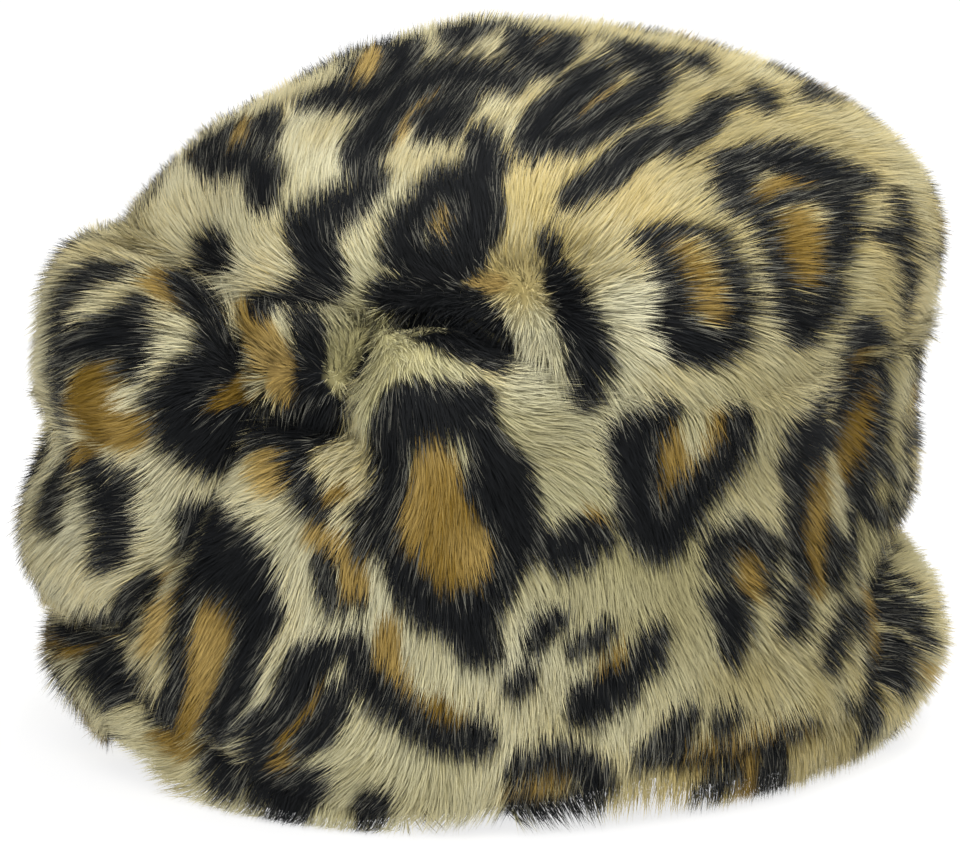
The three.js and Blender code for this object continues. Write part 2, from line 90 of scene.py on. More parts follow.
# Seams of the wraps and the knot: low angle, low height, high angle, high height.
LEFT_WRAP = [
    (-13, 102, -14, 106), (-18, 88, -18, 114), (-22, 67, -25, 122), (-28, 55, -30, 128),
    (-37, 43, -41, 132), (-52, 36, -54, 131), (-68, 33, -68, 126), (-90, 34, -90, 119),
    (-120, 38, -120, 112), (-150, 43, -150, 107), (-180, 46, -180, 104),
]
RIGHT_WRAP = [
    (-34, 24, -37, 43), (-27, 20, -28, 55), (-20, 15, -22, 67), (-11, 8, -18, 88),
    (-3, 6, -13, 102), (8, 5, -5.5, 100.5), (17, 6, 2, 99), (20, 7, 0.8, 106), (22.5, 8, -0.9, 116),
    (25, 9, -2.1, 123), (28, 10, -3.5, 131), (34, 12, 5, 132), (40, 13, 12, 130), (47, 14, 20, 121),
    (54, 15, 29, 108), (63, 16, 42, 104), (78, 19, 62, 102), (87, 42, 80, 101), (98, 47, 97, 101),
    (120, 48, 120, 102), (150, 47, 150, 103), (180, 46, 180, 104),
]
KNOT = [
    (-13, 102, 2, 99), (-14, 106, 0.8, 106), (-18, 114, -0.9, 116), (-25, 122, -2.1, 123),
    (-30, 128, -3.5, 131),
]
# How far the cuff's outer edge is rolled up: angle, lift.
HEM_ROLL = [
    (-180, 0), (-120, 0), (-60, 1), (-30, 2), (15, 1), (45, 4), (70, 7), (95, 6), (125, 1),
    (150, 0), (180, 0),
]
# Creases: how far each one reaches, then its chain of angle, height, depth.
CREASES = {
    "crown_edge": (
        8,
        [
            (-180, 104, 3), (-120, 112, 5), (-68, 126, 6), (-41, 132, 8), (-30, 128, 10),
            (-3.5, 131, 10), (12, 130, 11), (20, 121, 11), (29, 108, 4), (42, 104, 0),
        ],
    ),
    "crown_back": (10, [(120, 102, 0), (150, 103, 2), (180, 104, 3)]),
    "knot_left": (
        8,
        [
            (-30, 128, 8), (-25, 122, 9), (-18, 114, 10), (-13, 102, 13), (-18, 88, 12),
            (-22, 67, 10), (-28, 55, 9), (-37, 43, 9),
        ],
    ),
    "knot_right": (7, [(-3.5, 131, 9), (-0.9, 116, 10), (2, 99, 13), (5, 92, 6), (9, 86, 0)]),
    "knot_below": (9, [(-13, 102, 13), (2, 99, 13)]),
    "cuff_left": (
        7,
        [
            (-180, 46, 7), (-120, 38, 7), (-68, 33, 7), (-52, 36, 8), (-37, 43, 9), (-34, 24, 6),
            (-20, 15, 5), (-11, 8, 3), (8, 5, 2),
        ],
    ),
    "cuff_right": (
        8,
        [
            (20, 7, 2), (34, 12, 4), (63, 16, 6), (78, 19, 6), (87, 42, 9), (98, 47, 12),
            (120, 48, 10), (150, 47, 7), (180, 46, 7),
        ],
    ),
}
# Swells and hollows: from angle, from height, to angle, to height, reach, lift.
SWELLS = [
    (-9, 92, -24, 38, 11, 3), (-3, 90, -9, 30, 9, 3), (-13, 84, -18, 30, 8, -3),
    (12, 98, 16, 50, 15, 4), (8, 118, 20, 104, 12, 4), (27, 88, 36, 34, 12, -3),
    (44, 84, 60, 30, 16, 3), (76, 92, 84, 58, 13, -5), (-34, 106, -62, 98, 17, 4),
    (-50, 119, -88, 110, 12, 4), (-40, 80, -70, 78, 10, -3), (-34, 62, -88, 50, 14, 5),
    (-100, 23, -50, 23, 9, 2), (-60, 146, -20, 146, 11, 3), (30, 122, 52, 112, 15, 4),
    (94, 30, 130, 26, 13, 2),
]

# Where the fur stands further out or in along the photograph's outline: x, y, reach, lift.
OUTLINE_TRIMS = [
    (90, 235, 38, 6), (50, 285, 30, 3), (28, 425, 38, 7), (14, 560, 26, 2.5), (25, 605, 36, 6.5),
    (42, 650, 25, 2), (470, 15, 55, 3.5), (345, 48, 36, 4), (215, 122, 26, 2.5),
    (938, 320, 60, -2.8), (915, 400, 36, -1.5), (918, 560, 40, -6), (952, 615, 30, -4),
    (935, 715, 32, 6),
]
# How far a place may face the camera and still be trimmed.
TRIM_FACING = 0.55
# Swells that only the fur has, in the same columns as the form's own.
FUR_SWELLS = [(-12, 108, 6, 107, 9, 7)]
# How far the fur's lower edge is lifted past that roll, or let down from it: angle, lift.
HEM_LIFT = [
    (-180, 0), (-66, 0), (-54, 5), (-46, 7), (-38, 7), (-33, 1), (-30, 0), (0, 0), (10, 3), (18, 5),
    (25, 3.5), (37, 4.5), (46, 5), (54, 0), (62, -2), (72, -4), (80, -3), (88, -5), (96, -5),
    (110, 0), (180, 0),
]

# How much more the top counts than the sides where the hat's broad form is followed.
BROAD_STRETCH = (1, 1, 1.3)

# Measures of the walls, the shells and the floor.
SIZES = {
    "cap_wall": 3,
    "cap_gap": 0.6,
    "cap_lift": 2,
    "crown_wall": 15,
    "crown_floor": 4,
    "crown_inner_start": 14,
    "lining_tuck": 1,
    "lining_low": 60,
    "relief_fade": 12,
    "crease_full": 10,
    "mean_radius": 115,
    "pile": 8.2,
    "seam": 1.2,
    "seam_most": 0.4,
    "hem_foot": 0.5,
    "shell_step": 3.2,
    "floor_half": 6000,
}
# How many rings each shell has from its low edge to its high edge, and the lining has.
RINGS = {"crown": 54, "left_wrap": 42, "right_wrap": 48, "knot": 14, "cuff": 18}
LINING_RINGS = {"outside": 5, "inside": 12, "dome": 16}
# How far short of the form's last row, a single point, the dome stops, and its normals stop.
TOP_GAP = 0.02
TOP_NORMAL_GAP = 0.03
# Over what span a normal is measured, and in how many steps a form is searched for a height.
NORMAL_SPAN = {"degrees": 1, "level": 0.01}
LEVEL_STEPS = 4000

# The fur: what one strand and its tufts measure.
FUR = {
    "length": 10,
    "length_range": (0.7, 1.15),
    "width": 0.24,
    "far_width": 0.34,
    "width_range": (0.7, 1.25),
    "widest": 0.42,
    "roll": 0.9,
    "stray": 0.07,
    "lean": 44,
    "bend": 0.2,
    "sag": 0.14,
    "spread": 0.2,
    "tuft": 1.8,
    "tuft_pull": 0.22,
    "tuft_shift": 13,
    "lock": 8.0,
    "lock_pull": 0.1,
    "lock_shift": 31,
    "swirl": 0.45,
    "swirl_size": 14,
    "swirl_left": 0.1,
    "swirl_seed": 6,
    "crease_trim": 0.35,
    "near_strands": 4.1,
    "far_strands": 2.0,
    "lowest": 0.5,
    "seed": 7,
}
# A strand's vertices, how far up it the print is read, and where its vertices lie in its own
# field of the chart.
STRAND_VERTICES = 4
PRINT_RISE = 0.6
STRAND_FIELD = [(0.5, 0.15), (0.2, 0.5), (0.8, 0.5), (0.5, 0.85)]
# Between these shares of facing the camera the fur goes from its far strands to its near ones.
NEAR_SPAN = (-0.25, 0.15)
# A piece's stretch with less cover than this many corners grows no fur.
LEAST_COVER = 1

# Which way the fur lies in the photograph: x, y, then how far it runs right and down.
# A short run is fur that stands up, and a run past 1 lies flatter than the usual lean.
COMB = {
    "crown": [
        (150, 200, -0.5, -0.9), (190, 140, -0.4, -0.9), (230, 110, -0.3, -1), (300, 60, -0.2, -1),
        (380, 30, 0, -1), (250, 170, 0, -1), (330, 100, -0.1, -1), (345, 125, 0.4, -0.9),
        (370, 110, 0.6, -0.8), (400, 60, 0.3, -1), (260, 240, 0, -0.8), (225, 300, -0.3, 0.3),
        (300, 200, 0.1, -1), (340, 250, 0, -1), (330, 275, -0.6, -0.6), (318, 290, -1, -0.1),
        (390, 262, -0.4, -0.9), (400, 180, 0.3, -0.9), (430, 140, 0.4, -0.9), (430, 230, 0.1, -0.9),
        (470, 180, 0.2, -1), (480, 240, -0.2, -0.9), (455, 268, -0.7, -0.6), (500, 240, 0.05, -1),
        (470, 80, 0.6, -0.8), (500, 120, 0.5, -0.9), (540, 60, 0.6, -0.8), (480, 30, 0.3, -1),
        (560, 100, 0.65, -0.8), (560, 180, 0.35, -0.9), (540, 235, 0.1, -1), (600, 50, 0.75, -0.7),
        (620, 120, 0.7, -0.75), (640, 190, 0.6, -0.8), (600, 235, 0.4, -0.9), (635, 245, 0.7, -0.7),
        (680, 80, 0.75, -0.65), (700, 150, 0.7, -0.7), (740, 60, 0.85, -0.5),
        (760, 110, 0.85, -0.5), (730, 200, 0.8, -0.6), (800, 150, 0.9, -0.45),
        (830, 100, 0.95, -0.3), (860, 170, 1, -0.2), (900, 200, 1, 0), (925, 260, 1, 0.1),
        (820, 240, 1, -0.15), (770, 240, 0.95, -0.3), (760, 290, 1, 0.1), (800, 300, 1, 0.1),
        (860, 280, 1, 0.2), (890, 340, 1, 0.15), (900, 400, 0.95, 0.3), (650, 272, 1, -0.2),
        (655, 300, 1, 0.25), (650, 330, 0.75, 0.65), (700, 330, 0.85, 0.5), (700, 290, 1, 0.1),
        (600, 295, 0.7, 0.5), (560, 300, 0.6, 0.6), (540, 312, 0.5, 0.8), (530, 350, 0.25, 1),
        (570, 345, 0.4, 0.9), (510, 300, -0.1, 0.9), (490, 320, -0.3, 0.7), (600, 370, 0.4, 0.9),
        (650, 365, 0.6, 0.8), (440, 300, 0, 0.6), (400, 295, -0.2, 0.5), (760, 370, 0.8, 0.5),
        (820, 380, 1, 0.2), (720, 380, 0.5, 0.85),
    ],
    "left_wrap": [
        (150, 250, -0.7, -0.6), (100, 255, -0.9, -0.45), (60, 290, -0.95, -0.3), (35, 340, -1, 0.1),
        (75, 315, -0.95, 0.3), (170, 300, -1, 0), (120, 300, -1, 0.1), (165, 345, -1, 0.25),
        (155, 375, -0.9, 0.45), (110, 350, -0.95, 0.3), (100, 390, -1, 0.1), (110, 425, -1, -0.1),
        (130, 420, -1, 0), (200, 350, -0.6, 0.4), (215, 400, -0.5, 0.5), (200, 430, -0.6, 0.5),
        (245, 330, 0, -0.7), (270, 325, -0.1, -1), (265, 365, 0, 0.1), (250, 395, -0.2, 0.9),
        (30, 420, -0.8, 0.6), (40, 470, -0.8, 0.6), (100, 440, -0.9, 0.35), (65, 490, -0.8, 0.6),
        (110, 480, -0.9, 0.3), (150, 500, -1, 0.1), (140, 525, -1, 0.2), (160, 555, -1, -0.1),
        (140, 450, -1, 0.3), (190, 490, -0.1, 1), (28, 510, -0.95, 0.3), (35, 560, -0.7, 0.6),
        (45, 600, -0.5, 0.9), (90, 540, -0.75, 0.65), (70, 580, -0.8, 0.6), (110, 600, -0.45, 0.9),
        (135, 605, -0.25, 1), (150, 580, -0.4, 0.9),
    ],
    "right_wrap": [
        (330, 335, -0.4, 0.6), (330, 365, -0.4, 0.6), (345, 395, -0.1, 0.9), (345, 318, 0.5, 1.4),
        (375, 322, 0.5, 1.4), (405, 324, 0.3, 1.5), (430, 330, 0.3, 1.5), (440, 345, 0.5, 1.4),
        (480, 362, 0.6, 1.3), (380, 350, 0.4, 1.4), (410, 352, 0.4, 1.4), (430, 368, 0.4, 1.3),
        (395, 372, 0.2, 1.3), (505, 385, 0.7, 0.5), (400, 395, 0.0, 1.2), (450, 398, 0.1, 1.2),
        (480, 410, 0.2, 1), (420, 430, 0.0, 1.2), (513, 415, 0.85, -0.45), (540, 432, 1, -0.05),
        (565, 410, 0.95, 0.2), (560, 448, 0.95, 0.25), (560, 478, 0.8, 0.6), (545, 515, 0.45, 0.9),
        (585, 500, 0.45, 0.9), (605, 430, 0.6, 0.8), (625, 415, 0.2, 1), (615, 480, 0.4, 0.9),
        (510, 480, 0.4, 0.9), (510, 560, 0.3, 0.95), (450, 500, 0.05, 1), (410, 500, -0.35, 0.95),
        (395, 560, -0.3, 0.95), (440, 580, 0, 1), (470, 640, 0.1, 1), (690, 420, 0.1, 1),
        (700, 440, 0.2, 1), (660, 480, 0.2, 1), (750, 430, 0.4, 0.9), (786, 483, 0.6, 0.8),
        (808, 430, 0.9, 0.4), (800, 400, 1, 0.2), (750, 520, 0.4, 0.9), (710, 540, 0.5, 0.85),
        (660, 560, 0.25, 1), (640, 590, 0.2, 1), (540, 590, 0.1, 1), (600, 560, 0.2, 1),
        (722, 588, 0.8, 0.6), (790, 590, 0.7, 0.65), (848, 440, 0.8, 0.55), (850, 400, 0.95, 0.3),
        (818, 540, 0.2, 1), (860, 510, 0.3, 0.95), (900, 440, 0.5, 0.85), (880, 500, 0.5, 0.85),
        (740, 640, 0.1, 1), (700, 620, 0.15, 1), (790, 630, 0.7, 0.7), (800, 665, 0.7, 0.7),
        (830, 690, 0.4, 0.9), (780, 690, 0.1, 1), (740, 700, 0, 1), (660, 680, 0, 1),
        (650, 720, -0.1, 1), (600, 700, 0, 1), (560, 640, 0, 1), (550, 700, 0, 1),
        (540, 760, -0.05, 1), (560, 790, 0.1, 1), (480, 700, 0, 1), (450, 760, -0.1, 1),
        (500, 790, -0.3, 0.9), (430, 800, -0.5, 0.8), (380, 790, -0.5, 0.85), (400, 700, 0, 1),
        (380, 650, 0.1, 1), (350, 760, -0.9, 0.45), (345, 720, -0.6, 0.8), (300, 760, -0.9, 0.4),
        (320, 690, -0.4, 0.95), (300, 700, -0.55, 0.85), (240, 755, -1, 0.1),
        (240, 720, -0.85, 0.5), (270, 740, -0.85, 0.5), (250, 820, -0.5, 0.8),
        (260, 790, -0.6, 0.7), (200, 720, -0.6, 0.8), (200, 660, -0.55, 0.85),
        (240, 650, -0.55, 0.85), (170, 600, -0.55, 0.85), (170, 680, -0.5, 0.9),
        (220, 600, -0.55, 0.85), (245, 545, -0.9, 0.4), (240, 500, -1, 0.2), (270, 490, -0.95, 0.3),
        (260, 570, -0.7, 0.7), (290, 570, -0.3, 1), (310, 600, -0.2, 1), (270, 600, -0.6, 0.8),
        (280, 640, -0.75, 0.65), (300, 640, -0.5, 0.85), (350, 490, -0.9, 0.4),
        (350, 520, -0.5, 0.85), (350, 570, 0, 1), (380, 560, 0.05, 1), (340, 630, -0.2, 1),
        (300, 450, -0.6, 0.5), (370, 470, -0.6, 0.6),
    ],
    "knot": [
        (300, 320, -0.1, -0.9), (275, 325, -0.2, -1), (280, 360, 0, 0.1), (290, 400, -0.1, 0.9),
        (330, 400, -0.1, 0.9), (335, 340, -0.5, 0.2), (310, 425, -0.2, 0.8),
    ],
    "cuff": [
        (55, 640, -0.9, -0.1), (60, 690, -0.6, 0.75), (85, 690, -0.4, 0.9), (130, 740, -0.95, 0.25),
        (160, 790, -0.9, 0.4), (190, 800, -0.7, 0.6), (230, 810, -0.6, 0.8), (300, 825, -0.4, 0.9),
        (420, 830, -0.3, 0.95), (560, 815, 0.4, 0.6), (640, 800, -0.2, 0.9), (700, 790, -0.2, 0.95),
        (760, 780, -0.2, 0.95), (800, 750, -0.3, 0.95), (840, 730, -0.2, 0.95),
        (870, 725, 0.4, 0.9), (900, 740, -0.1, 1), (935, 720, 0, 1), (860, 640, 0.95, 0.3),
        (900, 580, 0.95, 0.3), (930, 600, 0.9, 0.45), (900, 640, 0.85, 0.5), (880, 670, 0.7, 0.7),
        (935, 660, 0.7, 0.7),
    ],
}
# Out of the photograph's sight the fur lies backwards and down, in the row's own axes.
FAR_LIE = (0, 1, -0.55)
# Where the pile is short and curls: x, y and reach in the photograph, then its share of the
# usual length and how much it is ruffled.
CURLS = {
    "right_wrap": [
        (345, 322, 25, 0.7, 0.4), (405, 345, 40, 0.4, 0.7), (412, 322, 22, 0.25, 0.3),
        (460, 365, 38, 0.5, 0.6), (335, 385, 30, 0.7, 0.6),
    ],
}
# The ruffles' bump size and their seeds.
RUFFLE_SIZE = 2.6
RUFFLE_SEEDS = (31, 32, 33)
# How far an arrow's say reaches, in the photograph's pixels, and the longest run that counts.
COMB_REACH = 28
FLATTEST = 1.5
# Between these shares of facing the camera the far lie gives way to the comb.
COMB_SPAN = (-0.05, 0.2)
# How much the fur of a fold's upper lip falls over it, towards the camera, and how squarely the
# comb has to run into the skin there.
OVERHANG = 0.9
LIP_SPAN = (0.45, 0.9)

# The dark strokes in the photograph: x, y and half thickness along each, less what
# the strands' own growth adds to it. Most are the print's; crown_crease and shade_line are
# painted shadow in folds, and under_crease and under_crease_low are print with painted shadow
# under the crown's overhanging edge.
DARK_STROKES = {
    "lobe_band": [
        (124, 264, 2), (104, 271, 4), (84, 282, 4), (69, 296, 3), (62, 310, 1), (61, 340, 0),
        (62, 370, -1), (62, 400, -2), (61, 430, -1), (60, 458, 2), (56, 490, 7), (50, 512, 4),
        (54, 526, 1),
    ],
    "lobe_ring": [(134, 312, 10), (122, 330, 16), (98, 338, 12), (80, 342, 6), (66, 362, 0)],
    "lobe_ring_inner": [(136, 332, 10), (134, 352, 10), (130, 368, 6)],
    "lobe_bar": [
        (98, 478, 10), (113, 488, 18), (113, 505, 15), (117, 525, 15), (112, 545, 12),
        (103, 560, 6),
    ],
    "lobe_edge": [(22, 505, 6), (17, 540, 4), (24, 575, 7), (37, 600, 7), (45, 612, 5)],
    "lobe_under": [(70, 628, 7), (95, 628, 6), (125, 620, 7), (132, 600, 6), (148, 585, 5)],
    "lobe_brow": [(182, 284, 8), (195, 300, 9), (205, 313, 7)],
    "tuck_ring": [
        (210, 340, 12), (222, 358, 12), (192, 378, 17), (172, 402, 20), (182, 430, 22),
        (210, 448, 20), (240, 428, 14), (262, 425, 12), (300, 432, 10), (320, 420, 14),
    ],
    "gather": [(300, 425, 14), (325, 415, 15), (338, 408, 4)],
    "gather_down": [(297, 430, 7), (294, 450, 7), (292, 475, 6)],
    "tuck_edge": [(306, 315, 7), (308, 350, 8), (311, 395, 10)],
    "deep_tuck": [
        (195, 520, 12), (215, 530, 22), (205, 550, 20), (225, 570, 24), (250, 590, 22),
        (258, 615, 17), (250, 645, 11), (240, 680, 9), (224, 712, 9), (216, 740, 8), (220, 765, 14),
        (224, 785, 8),
    ],
    "deep_tuck_fill": [(195, 530, 10), (210, 575, 16), (240, 560, 20)],
    "left_streak": [
        (190, 585, 5), (188, 605, 3), (181, 630, 1), (178, 655, 1), (180, 685, 0), (168, 700, 5),
        (163, 715, 4),
    ],
    "cuff_lobe": [(110, 655, 8), (100, 672, 12), (125, 680, 12), (112, 692, 8)],
    "crown_spot": [(212, 246, 7), (212, 262, 8)],
    "crown_rim_ring": [
        (200, 158, 6), (210, 135, 9), (230, 108, 8), (252, 98, 6), (268, 95, 7), (262, 115, 8),
        (262, 140, 7),
    ],
    "crown_rim_line": [(268, 92, 4), (287, 79, 4)],
    "crown_wedge": [(208, 170, 6), (245, 165, 10), (262, 180, 15), (262, 200, 9)],
    "top_ring": [
        (350, 42, 6), (335, 58, 10), (325, 85, 12), (307, 98, 8), (340, 99, 11), (365, 103, 12),
        (388, 88, 8), (398, 62, 10), (400, 45, 12), (380, 37, 6),
    ],
    "arch": [
        (507, 85, 7), (470, 80, 10), (430, 80, 10), (400, 95, 10), (378, 120, 10), (366, 145, 11),
        (356, 163, 9),
    ],
    "arch_inner": [(458, 108, 8), (440, 115, 9), (420, 130, 8), (448, 127, 8)],
    "top_dash": [(450, 42, 7), (470, 26, 7), (495, 17, 6)],
    "brow_slant": [
        (375, 185, 7), (350, 205, 12), (330, 215, 15), (303, 225, 10), (315, 250, 15),
        (325, 272, 12), (300, 288, 8),
    ],
    "brow_ring": [
        (480, 145, 10), (485, 170, 14), (470, 190, 18), (440, 190, 12), (425, 208, 11),
        (405, 230, 13), (402, 252, 12), (428, 266, 16), (458, 258, 16), (478, 225, 15),
        (480, 200, 14),
    ],
    # Painted shadow along the crease between the crown and the left lobe.
    "crown_crease": [(262, 308, 4), (300, 295, 5), (330, 287, 6)],
    # Print with painted shadow under the crown's edge, where it overhangs the right lobe.
    "under_crease": [
        (384, 294, 10), (410, 298, 15), (440, 305, 19), (468, 318, 19), (484, 336, 15),
        (500, 354, 8),
    ],
    # Print with painted shadow under the crown's overhanging edge, lower down.
    "under_crease_low": [
        (400, 314, 4), (425, 324, 9), (448, 334, 10), (475, 346, 10), (500, 360, 6),
    ],
    "peak_ring": [
        (535, 27, 6), (520, 38, 9), (515, 55, 8), (530, 66, 8), (547, 66, 8), (562, 45, 8),
        (558, 30, 6),
    ],
    "peak_line": [(580, 22, 3), (620, 30, 3)],
    "long_ring": [
        (625, 52, 11), (645, 65, 12), (650, 80, 10), (640, 97, 9), (615, 112, 10), (600, 125, 8),
        (580, 136, 10), (560, 143, 9), (528, 143, 11), (540, 125, 12), (558, 108, 12),
        (575, 90, 11), (598, 75, 9),
    ],
    "peak_streak": [(660, 53, -2), (690, 60, 2), (703, 66, -1)],
    "crown_stroke": [
        (730, 106, -3), (715, 108, 3), (703, 120, 7), (690, 135, 7), (672, 144, 6), (650, 138, 7),
        (635, 148, 8), (618, 165, 8), (600, 182, 8), (580, 190, 6), (565, 200, 4),
    ],
    "right_top_spot": [(752, 98, 5), (760, 102, 5)],
    "right_top_dash": [(772, 66, -3), (800, 72, -1)],
    "right_top_dash_low": [(805, 92, 0), (835, 100, -2)],
    "skyline_specks": [(712, 44, -4), (740, 49, -4)],
    "skyline_dash": [(868, 117, -4), (890, 126, -5)],
    "crown_dot": [(548, 243, 5), (549, 246, 5)],
    "brow_stroke": [
        (556, 272, 6), (565, 290, 11), (577, 315, 14), (588, 345, 16), (592, 370, 15),
        (582, 395, 8),
    ],
    "rosette_left": [
        (640, 238, 0), (655, 252, 6), (667, 275, 6), (674, 300, 8), (676, 325, 12), (688, 345, 14),
        (712, 350, 12), (732, 338, 8), (740, 312, 6), (734, 285, 5), (727, 262, 5), (718, 242, 4),
        (700, 231, -1), (676, 230, -2), (652, 236, 0),
    ],
    "rosette_right": [
        (735, 200, 8), (730, 182, 13), (718, 166, 5), (745, 158, 5), (785, 160, 8), (815, 170, 10),
        (845, 178, 5), (864, 184, 0),
    ],
    "rosette_right_left_side": [
        (750, 210, 4), (762, 225, 4), (771, 255, 4), (779, 285, 6), (785, 310, 10), (797, 330, 11),
        (812, 318, 10), (826, 296, 8), (830, 272, 4), (835, 245, 10), (838, 215, 12),
        (832, 194, 11),
    ],
    "rosette_right_line": [(768, 206, -3), (790, 197, -3), (812, 196, 0)],
    "right_stripe_top": [(893, 198, 2), (898, 222, 4), (900, 245, 4)],
    "right_stripe": [(906, 262, 0), (907, 300, -1), (909, 340, -2), (908, 380, -2), (906, 402, -3)],
    "right_hair_line": [(926, 250, -5), (922, 330, -5)],
    "lobe_rosette_top": [(404, 406, 15), (440, 404, 14), (476, 406, 14)],
    "lobe_rosette_drop": [(465, 622, 20), (477, 642, 17), (487, 656, 8)],
    "lobe_rosette_chin": [(430, 415, 14), (450, 415, 14)],
    "small_ring_left": [(304, 492, 8), (308, 503, 8), (322, 510, 4)],
    "small_ring_side": [(322, 560, 2), (324, 580, 3), (326, 600, 2)],
    "small_ring_right": [(362, 512, 4), (366, 535, 4), (364, 555, 0)],
    "ring_mid": [
        (668, 415, 6), (645, 428, 13), (628, 445, 17), (633, 470, 18), (634, 497, 15),
        (640, 520, 18), (658, 537, 19), (678, 518, 15), (692, 494, 15), (714, 471, 13),
        (733, 450, 9), (742, 430, 6), (736, 415, 4),
    ],
    "ring_long": [
        (862, 338, 13), (858, 360, 12), (843, 385, 8), (830, 408, 8), (812, 436, 15),
        (795, 462, 11), (796, 490, 6), (791, 520, 3), (791, 548, 2), (800, 572, 1),
    ],
    "ring_long_right": [
        (880, 345, 1), (881, 388, -1), (878, 420, -1), (872, 454, 1), (862, 478, 6), (848, 505, 4),
        (841, 530, 6), (837, 555, 6), (834, 576, 2),
    ],
    "ring_small": [
        (886, 466, 1), (898, 470, -1), (900, 487, -1), (895, 505, 2), (875, 512, 3), (866, 500, 1),
    ],
    "ring_low": [
        (712, 565, 3), (716, 548, 5), (740, 532, 7), (764, 543, 3), (769, 565, -1), (768, 588, -2),
    ],
    "ring_low_left": [(722, 555, 4), (724, 575, 1)],
    "bar_low": [(722, 604, 10), (735, 606, 10), (733, 622, 12), (733, 640, 8), (730, 655, 2)],
    "bar_right": [(790, 590, 4), (795, 605, 6), (792, 622, 7)],
    "back_crease": [(888, 553, -2), (878, 583, 0), (861, 606, 1), (857, 625, -1)],
    "cuff_stripe_thin": [(895, 576, -4), (915, 586, -4), (938, 598, -4)],
    "cuff_stripe_top": [(886, 592, -3), (905, 601, -2), (924, 612, -3)],
    "cuff_stripe_mid": [(872, 608, 2), (892, 612, 4), (914, 622, 1), (926, 640, -1)],
    "cuff_stripe_low": [
        (886, 640, 2), (905, 655, 8), (896, 672, 10), (908, 685, 6), (916, 703, -3),
    ],
    "cuff_drop": [(876, 640, 1), (873, 690, 2), (872, 720, 3), (871, 748, 0)],
    "cuff_tick": [(850, 704, -3), (866, 704, -3)],
    "hem_right": [(772, 745, 3), (773, 765, 5), (772, 788, 5)],
    "hem_mid": [(735, 774, 2), (716, 785, 4), (700, 792, 1)],
    # Painted shadow along the fold between the right wrap and the cuff.
    "shade_line": [(640, 757, 0), (700, 757, -1), (745, 748, -3), (790, 730, -3), (815, 722, -4)],
    "dot_a": [(554, 618, 3), (544, 628, 8), (534, 640, 5)],
    "dot_b": [(602, 628, 3), (592, 640, 4), (576, 646, 1)],
    "dot_c": [(525, 675, 3), (516, 686, 4)],
    "slant": [
        (660, 632, 4), (650, 648, 9), (636, 668, 11), (615, 688, 13), (590, 700, 16), (584, 712, 8),
    ],
    "hem_ring_top": [
        (512, 775, 1), (524, 762, 6), (548, 755, 8), (575, 758, 8), (596, 772, 8), (601, 785, 5),
    ],
    "hem_ring_low": [(592, 797, 3), (570, 808, 8), (545, 812, 9), (522, 806, 4)],
    "drip": [(692, 712, 1), (684, 724, 5), (672, 740, 6), (652, 754, 4)],
    "drip_side": [(735, 714, 1), (722, 727, 1)],
    "diagonal": [
        (352, 640, 5), (358, 662, 8), (368, 682, 11), (388, 700, 11), (406, 713, 9), (430, 732, 9),
        (455, 743, 10), (477, 739, 11),
    ],
    "low_ring_left": [
        (330, 650, 7), (308, 662, 11), (296, 682, 11), (289, 702, 9), (275, 715, 8), (255, 727, 9),
    ],
    "low_ring_right": [(336, 690, 5), (332, 710, 8), (320, 730, 9), (306, 742, 7)],
    "low_ring_base": [
        (262, 740, 10), (258, 762, 9), (262, 790, 12), (290, 800, 20), (285, 822, 12),
        (310, 785, 12),
    ],
    "square": [(376, 806, 10), (370, 818, 9)],
    "lobe_rosette_ring": [
        (404, 430, 13), (440, 426, 11), (482, 432, 11), (491, 455, 14), (497, 480, 28),
        (506, 502, 24), (518, 525, 17), (519, 548, 14), (508, 568, 7), (500, 585, 10),
        (480, 606, 16), (455, 617, 14), (430, 608, 14), (408, 590, 12), (398, 568, 10),
        (384, 545, 5), (382, 520, 5), (384, 500, 6), (391, 480, 9), (390, 455, 11), (392, 430, 12),
    ],
    "lobe_rosette_wing": [(548, 545, 10), (572, 545, 18), (598, 538, 10)],
    "lobe_rosette_wing_low": [(562, 562, 6), (585, 554, 6)],
    "small_ring_base": [(326, 606, -1), (360, 606, -2)],
    "right_stripe_tongue": [(872, 233, -2), (888, 236, 0)],
    "back_crease_low": [(848, 602, 0), (840, 622, 3), (833, 645, 4), (830, 662, 1)],
}
